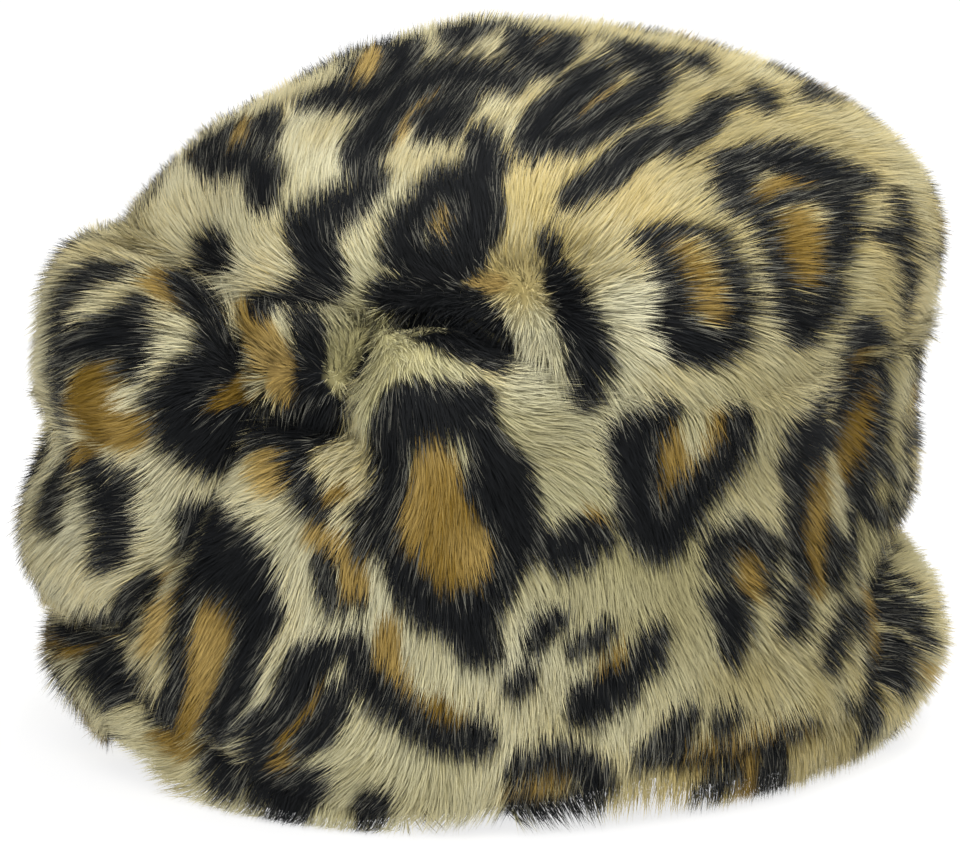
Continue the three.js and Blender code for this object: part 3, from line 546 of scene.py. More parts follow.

# The brown centres of the rings, in the same way, and brown painted shade: tuck_shade in the
# tuck, a stroke at the top of the left hem, and fold_shade under the fold between the right
# wrap and the cuff.
TAN_STROKES = {
    "lobe": [(100, 360, 10), (95, 380, 15), (92, 402, 18), (104, 425, 15), (132, 432, 12)],
    "lobe_low": [(85, 458, 8)],
    "lobe_brow": [(158, 284, 9), (172, 295, 8)],
    "tuck": [(232, 372, 8), (214, 400, 14), (236, 406, 10)],
    # Brown painted shade in the tuck.
    "tuck_shade": [(250, 318, 8), (262, 345, 14), (278, 375, 16), (300, 400, 8)],
    "under_gather": [(282, 448, 8), (268, 465, 12), (272, 482, 8)],
    "crown_rim": [(247, 108, 6), (242, 124, 7), (236, 148, 7)],
    "top": [(364, 54, 12), (362, 72, 15), (358, 86, 8)],
    "arch": [(384, 140, 5), (394, 124, 9), (412, 108, 9), (430, 100, 4), (473, 94, 2)],
    "brow": [(450, 212, 7), (448, 226, 9), (444, 242, 7)],
    "peak": [(538, 40, 8), (544, 50, 6)],
    "long": [(608, 94, 6), (594, 104, 9), (578, 116, 6)],
    "rosette_left": [(664, 238, -2), (685, 252, 3), (694, 272, 7), (704, 295, 7), (713, 314, 5)],
    "rosette_right": [(757, 198, 2), (770, 190, 6), (790, 182, 5), (806, 182, 1)],
    "rosette_right_low": [(790, 214, 6), (797, 240, 13), (802, 262, 11), (806, 282, 5)],
    "ring_long": [
        (867, 372, 1), (861, 396, 7), (852, 420, 12), (848, 443, 18), (838, 464, 18),
        (820, 488, 10), (815, 520, 9), (813, 555, 9), (814, 582, 6),
    ],
    "lobe_rosette": [
        (430, 455, 12), (434, 478, 21), (435, 502, 34), (441, 527, 44), (455, 550, 38),
        (462, 570, 26), (455, 588, 13),
    ],
    "small_ring": [(318, 530, 8), (336, 548, 5), (350, 560, 8), (350, 592, 8)],
    "ring_mid": [(665, 440, 10), (664, 465, 14), (660, 492, 13), (655, 506, 7)],
    "ring_mid_low": [(680, 475, 8), (705, 462, 8), (722, 440, 7)],
    "ring_mid_top": [(722, 418, 7), (735, 432, 6)],
    "ring_low": [(748, 548, 6), (750, 572, 8), (748, 592, 7)],
    "left_streak": [(218, 598, 9), (215, 625, 13), (205, 650, 16), (203, 680, 14), (192, 702, 10)],
    "left_streak_low": [(190, 710, 12), (180, 726, 10)],
    "left_edge": [(172, 585, 8), (158, 610, 6), (150, 640, 3)],
    "tuck_fleck": [(195, 552, 4), (185, 570, 5)],
    "cuff_lobe": [(60, 640, 8), (80, 645, 6), (105, 636, 6)],
    "low_ring": [(314, 688, 8), (310, 708, 9), (295, 726, 8), (278, 732, 6)],
    "low_ring_base": [(282, 758, 8), (288, 778, 7)],
    "diagonal": [
        (388, 632, 6), (384, 656, 9), (392, 680, 9), (410, 702, 8), (436, 713, 7), (456, 722, 7),
    ],
    "slant": [(622, 648, 0), (604, 668, 2)],
    "hem_ring": [(512, 795, 1), (530, 790, 3), (548, 780, 3), (565, 772, 2), (578, 772, 1)],
    "hem_right": [(750, 772, 9), (748, 788, 8)],
    "back": [(936, 672, 5), (932, 690, 6)],
    "dot": [(588, 518, 3), (596, 520, 2)],
    "small_ring_top": [(332, 494, 2), (345, 490, 0)],
    "crown_root": [(474, 283, 4), (494, 286, 5)],
    # Brown painted shade at the top of the left hem.
    "hem_left_shade": [(160, 735, 2), (185, 752, 2)],
    # Brown painted shade under the fold between the right wrap and the cuff.
    "fold_shade": [(670, 756, 3), (700, 755, 8), (732, 750, 9), (770, 739, 7), (806, 726, 3)],
}

# How deep a brown centre's colour is, from amber at 0, partly the print's own tone and partly
# painted shade: paler on the crown's top and deeper on the front and low down. The others are at
# BROWN_DEPTH.
BROWN_DEPTHS = {
    "crown_rim": 0.5,
    "top": 0.0,
    "arch": 0.2,
    "brow": 0.35,
    "peak": 0.2,
    "long": 0.2,
    "crown_root": 0.3,
    "lobe_brow": 0.7,
    "lobe": 1.0,
    "lobe_rosette": 0.6,
    "ring_long": 1.0,
    "tuck": 1.0,
    "tuck_shade": 0.45,
    "under_gather": 0.3,
    "rosette_left": 0.9,
    "rosette_right": 0.6,
    "rosette_right_low": 0.7,
    "left_edge": 0.1,
    "left_streak": 0.65,
    "hem_left_shade": 0.6,
    "small_ring": 0.6,
    "ring_mid_low": 0.5,
    "ring_mid_top": 0.3,
    "fold_shade": 1.0,
}
BROWN_DEPTH = 0.75
# And how deep it is on the sides and back.
FAR_DEPTH = 0.5

# The ground between the marks: x, y, reach, then how warm, how olive and how pale it is. The
# pale share is partly the fur's own tone and partly painted shade: the less pale, the more the
# ground takes the shade colour.
GROUND = [
    (230, 200, 90, 0.25, 0.05, 0.9), (420, 60, 90, 0.3, 0.1, 0.7), (350, 150, 80, 0.2, 0.1, 0.9),
    (540, 215, 60, 0.9, 0.1, 0.8), (430, 150, 45, 0.8, 0.1, 0.7), (480, 110, 50, 0.5, 0.1, 0.9),
    (510, 275, 28, 1.0, 0.1, 0.7), (620, 230, 40, 0.8, 0.1, 0.8), (520, 330, 50, 0.1, 0.1, 1.0),
    (620, 320, 45, 0.05, 0.0, 1.0), (860, 270, 40, 0.7, 0.3, 0.3), (640, 420, 40, 0.1, 0.1, 1.0),
    (600, 40, 70, 0.6, 0.2, 0.4), (700, 80, 80, 0.7, 0.2, 0.4), (800, 120, 70, 0.7, 0.2, 0.5),
    (900, 200, 60, 0.7, 0.2, 0.6), (760, 370, 60, 0.45, 0.3, 0.45), (620, 405, 40, 0.1, 0.3, 0.9),
    (30, 380, 60, 0.2, 0.0, 1.0), (90, 230, 60, 0.5, 0.0, 0.6), (170, 340, 60, 0.25, 0.1, 0.9),
    (150, 450, 60, 0.2, 0.1, 0.9), (100, 590, 70, 0.2, 0.15, 0.9), (400, 345, 60, 0.1, 0.75, 1.0),
    (280, 480, 50, 0.5, 0.1, 0.9), (270, 560, 60, 0.1, 0.2, 1.0), (580, 450, 60, 0.1, 0.55, 0.9),
    (700, 420, 40, 0.3, 0.4, 0.7), (760, 500, 60, 0.3, 0.35, 0.6), (640, 590, 80, 0.0, 0.85, 0.3),
    (890, 430, 50, 0.4, 0.5, 0.2), (880, 550, 50, 0.3, 0.55, 0.3), (450, 690, 90, 0.1, 0.2, 1.0),
    (560, 690, 80, 0.1, 0.3, 0.8), (400, 770, 80, 0.0, 0.6, 0.8), (640, 730, 60, 0.1, 0.3, 0.8),
    (780, 680, 80, 0.4, 0.3, 0.3), (240, 700, 40, 0.0, 0.1, 1.0), (155, 640, 40, 0.8, 0.1, 0.8),
    (150, 760, 70, 0.4, 0.2, 0.6), (230, 800, 60, 0.2, 0.3, 1.0), (420, 825, 50, 0.7, 0.2, 0.7),
    (680, 790, 60, 0.9, 0.1, 0.4), (800, 770, 50, 0.9, 0.05, 0.7), (840, 750, 60, 0.8, 0.1, 0.6),
    (850, 650, 50, 0.4, 0.3, 0.6), (920, 620, 60, 0.3, 0.3, 0.8), (915, 720, 50, 0.9, 0.1, 0.5),
]
# The same for the sides and back, and how little that counts beside the rows above.
FAR_GROUND = (0.5, 0.12, 0.75)
FAR_WEIGHT = 1e-4

# Rosettes of the sides and back, which the photograph doesn't show.
ROSETTES = {
    "spacing": 32,
    "tries": 2500,
    "smallest": 8.5,
    "largest": 12.5,
    "stroke": 3.8,
    "stroke_range": (0.85, 1.2),
    "stroke_swell": 0.35,
    "stretch": (1.2, 1.8),
    "down": (0.2, 0.1, -1),
    "turn": 0.7,
    "gaps": (1, 2),
    "opening": (0.2, 0.6),
    "shortest": 2.2,
    "points": 14,
    "bulges": ((2, 0.16), (3, 0.14), (5, 0.1)),
    "middle": (-0.45, 0.1, 0.5),
    "middle_lean": 0.25,
    "middle_size": (0.25, 0.6),
    "off_rim": 0.18,
    "spot": 3.6,
    "spot_range": (0.4, 1.3),
    "spot_taper": 0.8,
    "spot_run": 9,
    "spot_spacing": 16,
    "spot_clear": 8,
    "seed": 11,
}
# Where the photograph's own marks end: how far a place faces the camera, and how much more
# of the top they take.
FACING_EDGE = 0.3
TOP_SHARE = 0.12
# How ragged that edge is, in bumps of the given size, and where the ground's tones give way.
FACING_SWING = 0.12
FACING_SIZE = 14
FACING_SEED = 5
TONE_FADE = {"start": 0.1, "span": 0.3}

COLOURS = {
    "cream": (240, 234, 192),
    "gold": (232, 206, 124),
    "olive": (194, 186, 124),
    "shade": (158, 144, 98),
    # Amber to brown is the brown centres' depth, partly painted shade.
    "amber": (222, 190, 116),
    "brown": (138, 108, 34),
    "dark": (22, 24, 26),
    "dark_tip": (38, 40, 43),
    "frost": (150, 148, 134),
    "pale_tip": (246, 243, 222),
    # The ground cloth's painted shade, deep in the pile.
    "backing": (74, 62, 44),
    "lining": (42, 38, 34),
    "floor": (150, 150, 150),
    "floor_glow": (255, 255, 255),
    "backdrop": (255, 255, 255),
}

LIGHTS = {
    "front": {"place": (300, -1800, 1400), "side": 1200, "watts": 35},
    "right": {"place": (1600, -700, 1300), "side": 1000, "watts": 6},
    "top": {"place": (500, 200, 2000), "side": 1300, "watts": 25},
}
ROOM_GLOW = 0.37
FLOOR_GLOW = 0.8

# How the fur and its ground cloth take the light, the shade painted into the strands' colour
# towards their roots and into the ground cloth's colour, and how rough all plain things are.
FINISH = {
    "shade": 0.6,
    "pale_tip": 0.45,
    "dark_tip": 0.6,
    "tip_power": 3,
    "root_shade": 0.84,
    "strand_shade": 0.9,
    "strand_swing": 0.14,
    "own_normal": 0.15,
    "roughness": 0.6,
    # How far the ground cloth's colour goes towards its painted pile shade.
    "specular": 0.12,
    "backing": 0.25,
    "backing_shade": 0.85,
    "backing_specular": 0.1,
    "plain_roughness": 0.9,
}


def linear(name):
    """A named colour as the shader takes it."""
    share = np.array(COLOURS[name]) / 255
    low = share / 12.92
    high = ((share + 0.055) / 1.055) ** 2.4
    return (*np.where(share <= 0.04045, low, high), 1.0)


def stepping(low, high, value):
    """0 below low and 1 above high, with a soft step between."""
    share = np.clip((value - low) / (high - low), 0, 1)
    return share * share * (3 - 2 * share)


def unit(vectors):
    return vectors / np.maximum(np.linalg.norm(vectors, axis=-1, keepdims=True), 1e-9)


# The hat's form.


def along(rows, t):
    """All columns of a table between its rows, on smooth curves through them."""
    start = np.clip(np.floor(t).astype(int), 0, len(rows) - 2)
    f = (t - start)[..., None]
    p0, p1, p2, p3 = (rows[np.clip(start + k, 0, len(rows) - 1)] for k in (-1, 0, 1, 2))
    f2, f3 = f * f, f * f * f
    return (
        (2 * f3 - 3 * f2 + 1) * p1
        + (f3 - 2 * f2 + f) * (p2 - p0) / 2
        + (3 * f2 - 2 * f3) * p2
        + (f3 - f2) * (p3 - p1) / 2
    )


def level_in(form, height):
    """Where on a form's table a height falls."""
    steps = np.linspace(0, len(form) - 1, LEVEL_STEPS)
    return np.interp(height, along(form, steps)[:, 0], steps)


def oval_point(form, angle, level, out=0.0):
    """A place on a form. Angles run from the front, and grow towards the photograph's right."""
    height, half_width, half_depth, right, back = np.moveaxis(along(form, level), -1, 0)
    a = np.radians(angle)
    return np.stack(
        [
            right + (half_width + out) * np.sin(a),
            back - (half_depth + out) * np.cos(a),
            height,
        ],
        -1,
    )


def body_normal(angle, level):
    """The way the outer form faces, creases and swells left aside."""
    level = np.minimum(level, len(BODY_FORM) - 1 - TOP_NORMAL_GAP)
    degrees, rise = NORMAL_SPAN["degrees"], NORMAL_SPAN["level"]
    ahead = oval_point(BODY_FORM, angle + degrees, level)
    behind = oval_point(BODY_FORM, angle - degrees, level)
    above = oval_point(BODY_FORM, angle, level + rise)
    below = oval_point(BODY_FORM, angle, np.maximum(level - rise, 0))
    return unit(np.cross(ahead - behind, above - below))


# How far one degree runs round the outside.
DEGREE_RUN = math.radians(1) * SIZES["mean_radius"]


def near_stretch(angle, height, start, end):
    """Distance from a stretch of the outside, and how far along it that is."""
    across = ((angle - start[0] + 180) % 360 - 180) * DEGREE_RUN
    up = height - start[1]
    span_across = (end[0] - start[0]) * DEGREE_RUN
    span_up = end[1] - start[1]
    share = (across * span_across + up * span_up) / (span_across**2 + span_up**2)
    share = np.clip(share, 0, 1)
    return np.hypot(across - share * span_across, up - share * span_up), share


def relief(angle, height, swells=SWELLS):
    """How far the outside stands out or is drawn in."""
    deepest = np.zeros(np.shape(angle))
    for reach, chain in CREASES.values():
        for start, end in zip(chain, chain[1:]):
            distance, share = near_stretch(angle, height, start, end)
            depth = start[2] + (end[2] - start[2]) * share
            deepest = np.maximum(deepest, depth * np.exp(-distance / reach))
    lifted = np.zeros(np.shape(angle))
    for from_angle, from_height, to_angle, to_height, reach, lift in swells:
        distance, share = near_stretch(
            angle, height, (from_angle, from_height), (to_angle, to_height)
        )
        lifted += lift * np.exp(-((distance / reach) ** 2))
    fade = np.clip((BODY_FORM[-1, 0] - height) / SIZES["relief_fade"], 0, 1)
    return fade * (lifted - deepest)


def fur_point(angle, level, proud):
    """A place of the fur's outer form, with its creases and swells, or proud of it."""
    point = oval_point(BODY_FORM, angle, level)
    out = relief(angle, point[..., 2], SWELLS + FUR_SWELLS) + proud
    return point + body_normal(angle, level) * out[..., None]


def cap_point(angle, height, out):
    """A place on the cap band's inner face, or the given distance out from it."""
    return oval_point(HEAD_FORM, angle, level_in(HEAD_FORM, height), out)


# How far above the cap band's lowest edge its corners still count as its foot.
FOOT_BAND = 0.1


def frame_shift():
    """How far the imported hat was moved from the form's own axis: read off the cap band's foot."""
    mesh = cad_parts["crown"].data
    places = np.array([v.co for v in mesh.vertices]) / MM
    foot = places[places[:, 2] < SIZES["cap_lift"] + FOOT_BAND]
    behind = foot[np.argmax(foot[:, 1])]
    own = cap_point(np.array(180.0), np.array(float(SIZES["cap_lift"])), SIZES["cap_wall"])
    return np.array([behind[0] - own[0], behind[1] - own[1], 0])


HAT_SHIFT = frame_shift()


# The photograph's view.

AZIMUTH, ELEVATION = (math.radians(CAMERA[k]) for k in ("azimuth", "elevation"))
VIEW_RIGHT = np.array([math.cos(AZIMUTH), math.sin(AZIMUTH), 0])
VIEW_BACK = np.array(
    [
        math.sin(AZIMUTH) * math.cos(ELEVATION),
        -math.cos(AZIMUTH) * math.cos(ELEVATION),
        math.sin(ELEVATION),
    ]
)
VIEW_UP = np.cross(VIEW_BACK, VIEW_RIGHT)


def in_photo(places):
    """Where places of the hat show in the photograph, in pixels."""
    offset = places - np.array(CAMERA["target"])
    nearer = CAMERA["distance"] / (CAMERA["distance"] - offset @ VIEW_BACK)
    x, y = CAMERA["target_pixel"]
    return np.stack(
        [
            x + offset @ VIEW_RIGHT * nearer / CAMERA["pixel"],
            y - offset @ VIEW_UP * nearer / CAMERA["pixel"],
        ],
        -1,
    )


def broad_way(places):
    """The way the hat's broad form faces at places of it, folds left aside."""
    middle = np.array([0, 0, CAMERA["target"][2]])
    return unit((places - middle) * BROAD_STRETCH)


def photo_share(normals):
    """How far places with these normals take the photograph's own marks."""
    return normals @ VIEW_BACK + TOP_SHARE * np.maximum(normals[:, 2], 0)


def nearness(pixels, x, y, reach):
    """1 at a place of the photograph, and less the further off."""
    return np.exp(-((pixels[..., 0] - x) ** 2 + (pixels[..., 1] - y) ** 2) / reach**2)


# The print.

# Large odd numbers that stir a cell's numbers into a random one, and its 32 and 16 low bits.
CELL_STIR = (374761393, 668265263, 2147483647)
STIR = 1274126177
LOW_32 = 0xFFFFFFFF
LOW_16 = 0xFFFF


def lattice(cells, seed):
    """A random number from 0 to 1 for each whole cell."""
    mixed = sum(cells[..., axis] * stir for axis, stir in enumerate(CELL_STIR))
    mixed = (mixed + seed * STIR) & LOW_32
    mixed = ((mixed ^ (mixed >> 13)) * STIR) & LOW_32
    return ((mixed ^ (mixed >> 16)) & LOW_16) / LOW_16


def drift(places, size, seed):
    """Smooth noise from -1 to 1, with bumps of the given size."""
    scaled = places / size
    cell = np.floor(scaled).astype(np.int64)
    f = scaled - cell
    f = f * f * (3 - 2 * f)
    total = 0
    for corner in np.ndindex(2, 2, 2):
        weight = np.prod(np.where(corner, f, 1 - f), axis=-1)
        total = total + weight * lattice(cell + np.array(corner), seed)
    return 2 * total - 1


def stroke_distance(places, strokes, margin):
    """Distance of places from the nearest stroke's edge, negative inside it, and which it is."""
    nearest = np.full(len(places), float(margin))
    owner = np.zeros(len(places), int)
    for number, stroke in enumerate(strokes):
        rows = np.array(stroke, float)
        rows = rows if len(rows) > 1 else np.repeat(rows, 2, axis=0)
        spots, widths = rows[:, :-1], rows[:, -1]
        reach = widths.max() + margin
        inside = np.all(
            (places > spots.min(0) - reach) & (places < spots.max(0) + reach), axis=1
        )
        if not inside.any():
            continue
        here = places[inside]
        best = nearest[inside]
        for a, b, wide, wide_next in zip(spots, spots[1:], widths, widths[1:]):
            span = b - a
            share = np.clip((here - a) @ span / max(span @ span, 1e-9), 0, 1)
            distance = np.linalg.norm(here - a - share[:, None] * span, axis=1)
            best = np.minimum(best, distance - wide - share * (wide_next - wide))
        owner[inside] = np.where(best < nearest[inside], number, owner[inside])
        nearest[inside] = best
    return nearest, owner


def ground_tones(pixels):
    """How warm, olive and pale the ground is at places in the photograph, the pale share partly
    painted shade.
    """
    rows = np.array(GROUND, float)
    weights = np.full(len(pixels), FAR_WEIGHT)
    tones = weights[:, None] * np.array(FAR_GROUND)
    for x, y, reach, *tone in rows:
        weight = nearness(pixels, x, y, reach)
        weights = weights + weight
        tones = tones + weight[:, None] * np.array(tone)
    return tones / weights[:, None]


def scattered(places, spacing, random):
    """Random places of a list, none nearer to another than the spacing."""
    chosen = []
    for place in places[random.permutation(len(places))[: ROSETTES["tries"]]]:
        if all(np.linalg.norm(place - other) > spacing for other in chosen):
            chosen.append(place)
    return np.array(chosen)


def rosette(centre, normal, random):
    """One rosette's dark strokes and its brown centre, as chains of place and half thickness."""
    down = np.array(ROSETTES["down"])
    down = unit(down - normal * (normal @ down))
    turn = random.uniform(-ROSETTES["turn"], ROSETTES["turn"])
    first = down * math.cos(turn) + np.cross(normal, down) * math.sin(turn)
    second = np.cross(normal, first)
    size = random.uniform(ROSETTES["smallest"], ROSETTES["largest"])
    long_size = size * random.uniform(*ROSETTES["stretch"])
    phases = random.uniform(0, 2 * math.pi, len(ROSETTES["bulges"]) + 2)
    gaps = random.integers(ROSETTES["gaps"][0], ROSETTES["gaps"][1] + 1)
    starts = np.sort(random.uniform(0, 2 * math.pi, gaps))
    strokes = []
    for start, end in zip(starts, np.append(starts[1:], starts[0] + 2 * math.pi)):
        opening = random.uniform(*ROSETTES["opening"])
        if end - start < ROSETTES["shortest"] * opening:
            continue
        turns = np.linspace(start + opening / 2, end - opening / 2, ROSETTES["points"])
        spread = 1 + sum(
            share * np.cos(waves * turns + phase)
            for (waves, share), phase in zip(ROSETTES["bulges"], phases)
        )
        chain = (
            centre
            + (long_size * spread * np.cos(turns))[:, None] * first
            + (size * spread * np.sin(turns))[:, None] * second
        )
        swell = np.cos(turns + phases[-2]) + np.cos(3 * turns + phases[-1])
        swell = 1 + ROSETTES["stroke_swell"] * swell
        width = ROSETTES["stroke"] * swell * random.uniform(*ROSETTES["stroke_range"])
        strokes.append(np.hstack([chain, width[:, None]]))
    lean = random.uniform(-1, 1) * ROSETTES["middle_lean"] * size
    start, midway, end = (share * long_size for share in ROSETTES["middle"])
    middle = np.array(
        [
            centre + first * start + second * lean,
            centre + first * midway,
            centre + first * end - second * lean,
        ]
    )
    widths = size * random.uniform(*ROSETTES["middle_size"], (3, 1))
    return strokes, np.hstack([middle, widths])


def far_rosettes(places, normals):
    """Dark strokes and brown centres for the sides and back, as chains in space."""
    random = np.random.default_rng(ROSETTES["seed"])
    away = photo_share(normals) < FACING_EDGE - ROSETTES["off_rim"]
    order = scattered(np.hstack([places, normals])[away], ROSETTES["spacing"], random)
    dark, tan = [], []
    for row in order:
        strokes, middle = rosette(row[:3], row[3:], random)
        dark += strokes
        tan.append(middle)
    clear = ROSETTES["largest"] + ROSETTES["spot_clear"]
    run = ROSETTES["spot_run"]
    for spot in scattered(places[away], ROSETTES["spot_spacing"], random):
        if min(np.linalg.norm(spot - row[:3]) for row in order) > clear:
            end = spot + random.uniform(-run, run, 3)
            width = ROSETTES["spot"] * random.uniform(*ROSETTES["spot_range"])
            dark.append(np.array([[*spot, width], [*end, width * ROSETTES["spot_taper"]]]))
    return dark, tan


# How the print's edges look, in the photograph's pixels. The sizes of the bumps that they wander
# by are in millimetres.
MARKS = {
    "margin": 40,
    "ragged": 9,
    "dark_growth": 11.3,
    "tan_growth": 8,
    "dark_edge": 2,
    "tan_edge": 3,
    "wander": 3.5,
    "wander_size": 9,
    "wander_seeds": (1, 2),
    "fine_size": 3.5,
    "fine_seeds": (3, 4),
    "fine_share": 0.5,
    "depth_swing": 0.5,
}
# Pale hairs in the black, from this far inside its edge, and how rare they are.
FROST = {"deepest": 6, "edge": 1, "rare": (0.65, 0.9), "stir": 7.3}
# How the ground's warm, olive and pale shares wander, the pale share being partly painted
# shade: bump size and seed, swing, and from strand to strand.
TONE_DRIFT = [(9, 21), (14, 22), (12, 23)]
TONE_SWING = (0.32, 0.15, 0.3)
STRAND_SWING = (0.5, 0.0, 0.2)


def wandering(places):
    """How far the marks' edges are shifted at places of the hat, right and down."""
    broad, fine = (
        np.stack([drift(places, MARKS[f"{kind}_size"], seed) for seed in MARKS[f"{kind}_seeds"]], -1)
        for kind in ("wander", "fine")
    )
    return MARKS["wander"] * (broad + MARKS["fine_share"] * fine)


def print_at(places, normals, chance, far_marks):
    """The print at places of the hat, in columns.

    They are the dark and brown shares, the ground's warm, olive and pale shares, the frost and
    the brown's depth. The pale share and the depth are partly painted shade.
    """
    pixels = in_photo(places)
    shifted = pixels + wandering(places)
    dark, _ = stroke_distance(shifted, DARK_STROKES.values(), MARKS["margin"])
    tan, owner = stroke_distance(shifted, TAN_STROKES.values(), MARKS["margin"])
    depths = np.array([BROWN_DEPTHS.get(name, BROWN_DEPTH) for name in TAN_STROKES])[owner]
    facing = photo_share(normals) + FACING_SWING * drift(places, FACING_SIZE, FACING_SEED)
    far = facing < FACING_EDGE
    far_margin = MARKS["margin"] * CAMERA["pixel"]
    for masks, strokes in zip((dark, tan), far_marks):
        masks[far] = stroke_distance(places[far], strokes, far_margin)[0] / CAMERA["pixel"]
    depths[far] = FAR_DEPTH
    away = stepping(0, TONE_FADE["span"], FACING_EDGE + TONE_FADE["start"] - facing)[:, None]
    tones = ground_tones(pixels) * (1 - away) + np.array(FAR_GROUND) * away
    uneven = np.stack([drift(places, size, seed) for size, seed in TONE_DRIFT], -1)
    tones = np.clip(tones + uneven * TONE_SWING + (chance[:, None] - 0.5) * STRAND_SWING, 0, 1)
    ragged = MARKS["ragged"] * (chance - 0.5)
    edge = MARKS["dark_edge"]
    dark_share = stepping(edge, -edge, dark + ragged - MARKS["dark_growth"])
    edge = MARKS["tan_edge"]
    tan_share = stepping(edge, -edge, tan + ragged - MARKS["tan_growth"])
    depths = np.clip(depths + MARKS["depth_swing"] * (uneven[:, 1] + chance - 0.5), 0, 1)
    rare = stepping(*FROST["rare"], (chance * FROST["stir"]) % 1)
    frost = stepping(-FROST["deepest"], -FROST["edge"], dark) * rare
    return np.column_stack([dark_share, tan_share, tones, frost, depths])


# Meshes of the ground shells.


def stepped(rows, step, columns):
    """The table's rows with more between them, none further apart than the step."""
    rows = np.array(rows, float)
    made = [rows[:1]]
    for a, b in zip(rows, rows[1:]):
        runs = (b - a)[:columns].reshape(-1, 2)
        spans = np.hypot(runs[:, 0] * DEGREE_RUN, runs[:, 1])
        count = max(1, round(max(spans) / step))
        shares = np.arange(1, count + 1)[:, None] / count
        made.append(a + (b - a) * shares)
    return np.vstack(made)


def sheet_faces(rows, columns, closed):
    """Quads over a grid of rows and columns. A closed grid joins its last row to its first."""
    row = np.arange(rows if closed else rows - 1)
    column = np.arange(columns - 1)
    i, j = np.meshgrid(row, column, indexing="ij")
    here = i * columns + j
    beside = (i + 1) % rows * columns + j
    return np.stack([here, beside, beside + 1, here + 1], -1).reshape(-1, 4)


def linked(name, data):
    """A new object in the scene."""
    piece = bpy.data.objects.new(name, data)
    bpy.context.scene.collection.objects.link(piece)
    return piece


def plain_mesh(name, places, faces):
    """An object made of the given places, in millimetres, and faces."""
    mesh = bpy.data.meshes.new(name)
    mesh.from_pydata((places * MM).tolist(), [], faces.tolist())
    mesh.update()
    return linked(name, mesh)


def turned_out(places, faces, outward):
    """The faces wound so that most of them face along the given directions."""
    a, b, c = (places[faces[:, k]] for k in (0, 1, 2))
    normals = np.cross(b - a, c - a)
    facing = (normals * outward[faces[:, 0]]).sum()
    return faces if facing > 0 else faces[:, ::-1]


def put(mesh, name, kind, values):
    """Stores an attribute on a mesh's vertices."""
    made = mesh.attributes.new(name, kind, "POINT")
    field = {"FLOAT": "value", "FLOAT_VECTOR": "vector", "FLOAT_COLOR": "color"}[kind]
    made.data.foreach_set(field, np.ascontiguousarray(values, np.float32).ravel())


def charted(mesh, spread):
    """Gives a mesh its bake chart, from where each vertex lies in it."""
    corners = np.empty(len(mesh.loops), np.int32)
    mesh.loops.foreach_get("vertex_index", corners)
    chart = mesh.uv_layers.new(name="OFBake")
    chart.uv.foreach_set("vector", spread[corners].astype(np.float32).ravel())


def wrap_grid(rows, rung_count):
    """Angles and heights over a wrap, rung by rung from its low edge to its high edge."""
    edges = stepped(rows, SIZES["shell_step"], 4)
    rung = np.hypot((edges[:, 2] - edges[:, 0]) * DEGREE_RUN, edges[:, 3] - edges[:, 1])
    trim = np.minimum(SIZES["seam"] / rung, SIZES["seam_most"])[:, None]
    share = trim + (1 - 2 * trim) * np.linspace(0, 1, rung_count)
    angle = edges[:, :1] + (edges[:, 2:3] - edges[:, :1]) * share
    height = edges[:, 1:2] + (edges[:, 3:4] - edges[:, 1:2]) * share
    return angle, height


def ring_edge(rows, low):
    """A wrap's low or high edge as angle and height rows."""
    first = 0 if low else 2
    return [row[first : first + 2] for row in rows]


def trimmed(grid):
    """A shell's grid with the outline's trims."""
    outward = broad_way(grid)
    rim = np.exp(-((outward @ VIEW_BACK / TRIM_FACING) ** 2))
    pixels = in_photo(grid)
    lift = sum(height * nearness(pixels, x, y, reach) for x, y, reach, height in OUTLINE_TRIMS)
    return grid + outward * (rim * lift)[..., None]


def shell(name, angle, level, closed, skirts):
    """A ground shell under the pile, with skirts down to the cap along its seams."""
    height = along(BODY_FORM, level)[..., 0]
    outer = fur_point(angle, level, -SIZES["pile"])
    columns = [outer[:, k] for k in range(outer.shape[1])]
    cover = [np.ones(len(angle))] * outer.shape[1]
    cap_out = SIZES["cap_wall"] + SIZES["cap_gap"]
    if "low" in skirts:
        columns.insert(0, cap_point(angle[:, 0], np.maximum(height[:, 0], 0.0), cap_out))
        cover.insert(0, np.zeros(len(angle)))
    if "high" in skirts:
        columns.append(cap_point(angle[:, -1], height[:, -1], cap_out))
        cover.append(np.zeros(len(angle)))
    grid = trimmed(np.stack(columns, 1) + HAT_SHIFT)
    cover = np.stack(cover, 1).ravel()
    rows, count = grid.shape[:2]
    places = grid.reshape(-1, 3)
    faces = sheet_faces(rows, count, closed)
    middle = places.mean(0)
    faces = turned_out(places, faces, places - middle)
    piece = plain_mesh(name, places, faces)
    piece.data.shade_smooth()
    u, v = np.meshgrid(np.linspace(0, 1, rows), np.linspace(0, 1, count), indexing="ij")
    charted(piece.data, np.stack([u, v], -1).reshape(-1, 2))
    drawn_in = np.zeros((rows, count))
    first = 1 if "low" in skirts else 0
    own = slice(first, first + angle.shape[1])
    drawn_in[:, own] = np.clip(-relief(angle, height) / SIZES["crease_full"], 0, 1)
    return piece, places, cover, drawn_in.ravel()


def vertex_normals(piece):
    found = np.empty(len(piece.data.vertices) * 3, np.float32)
    piece.data.vertex_normals.foreach_get("vector", found)
    return found.reshape(-1, 3).astype(float)


def wall_normals(piece, name):
    """A shell's normals. The cuff's skirt and hem take those of the wall beside them."""
    normals = vertex_normals(piece)
    if name == "cuff":
        columns = RINGS[name] + len(PIECES[name]["skirts"])
        grid = normals.reshape(-1, columns, 3)
        grid[:, :2] = grid[:, 2:3]
    return normals


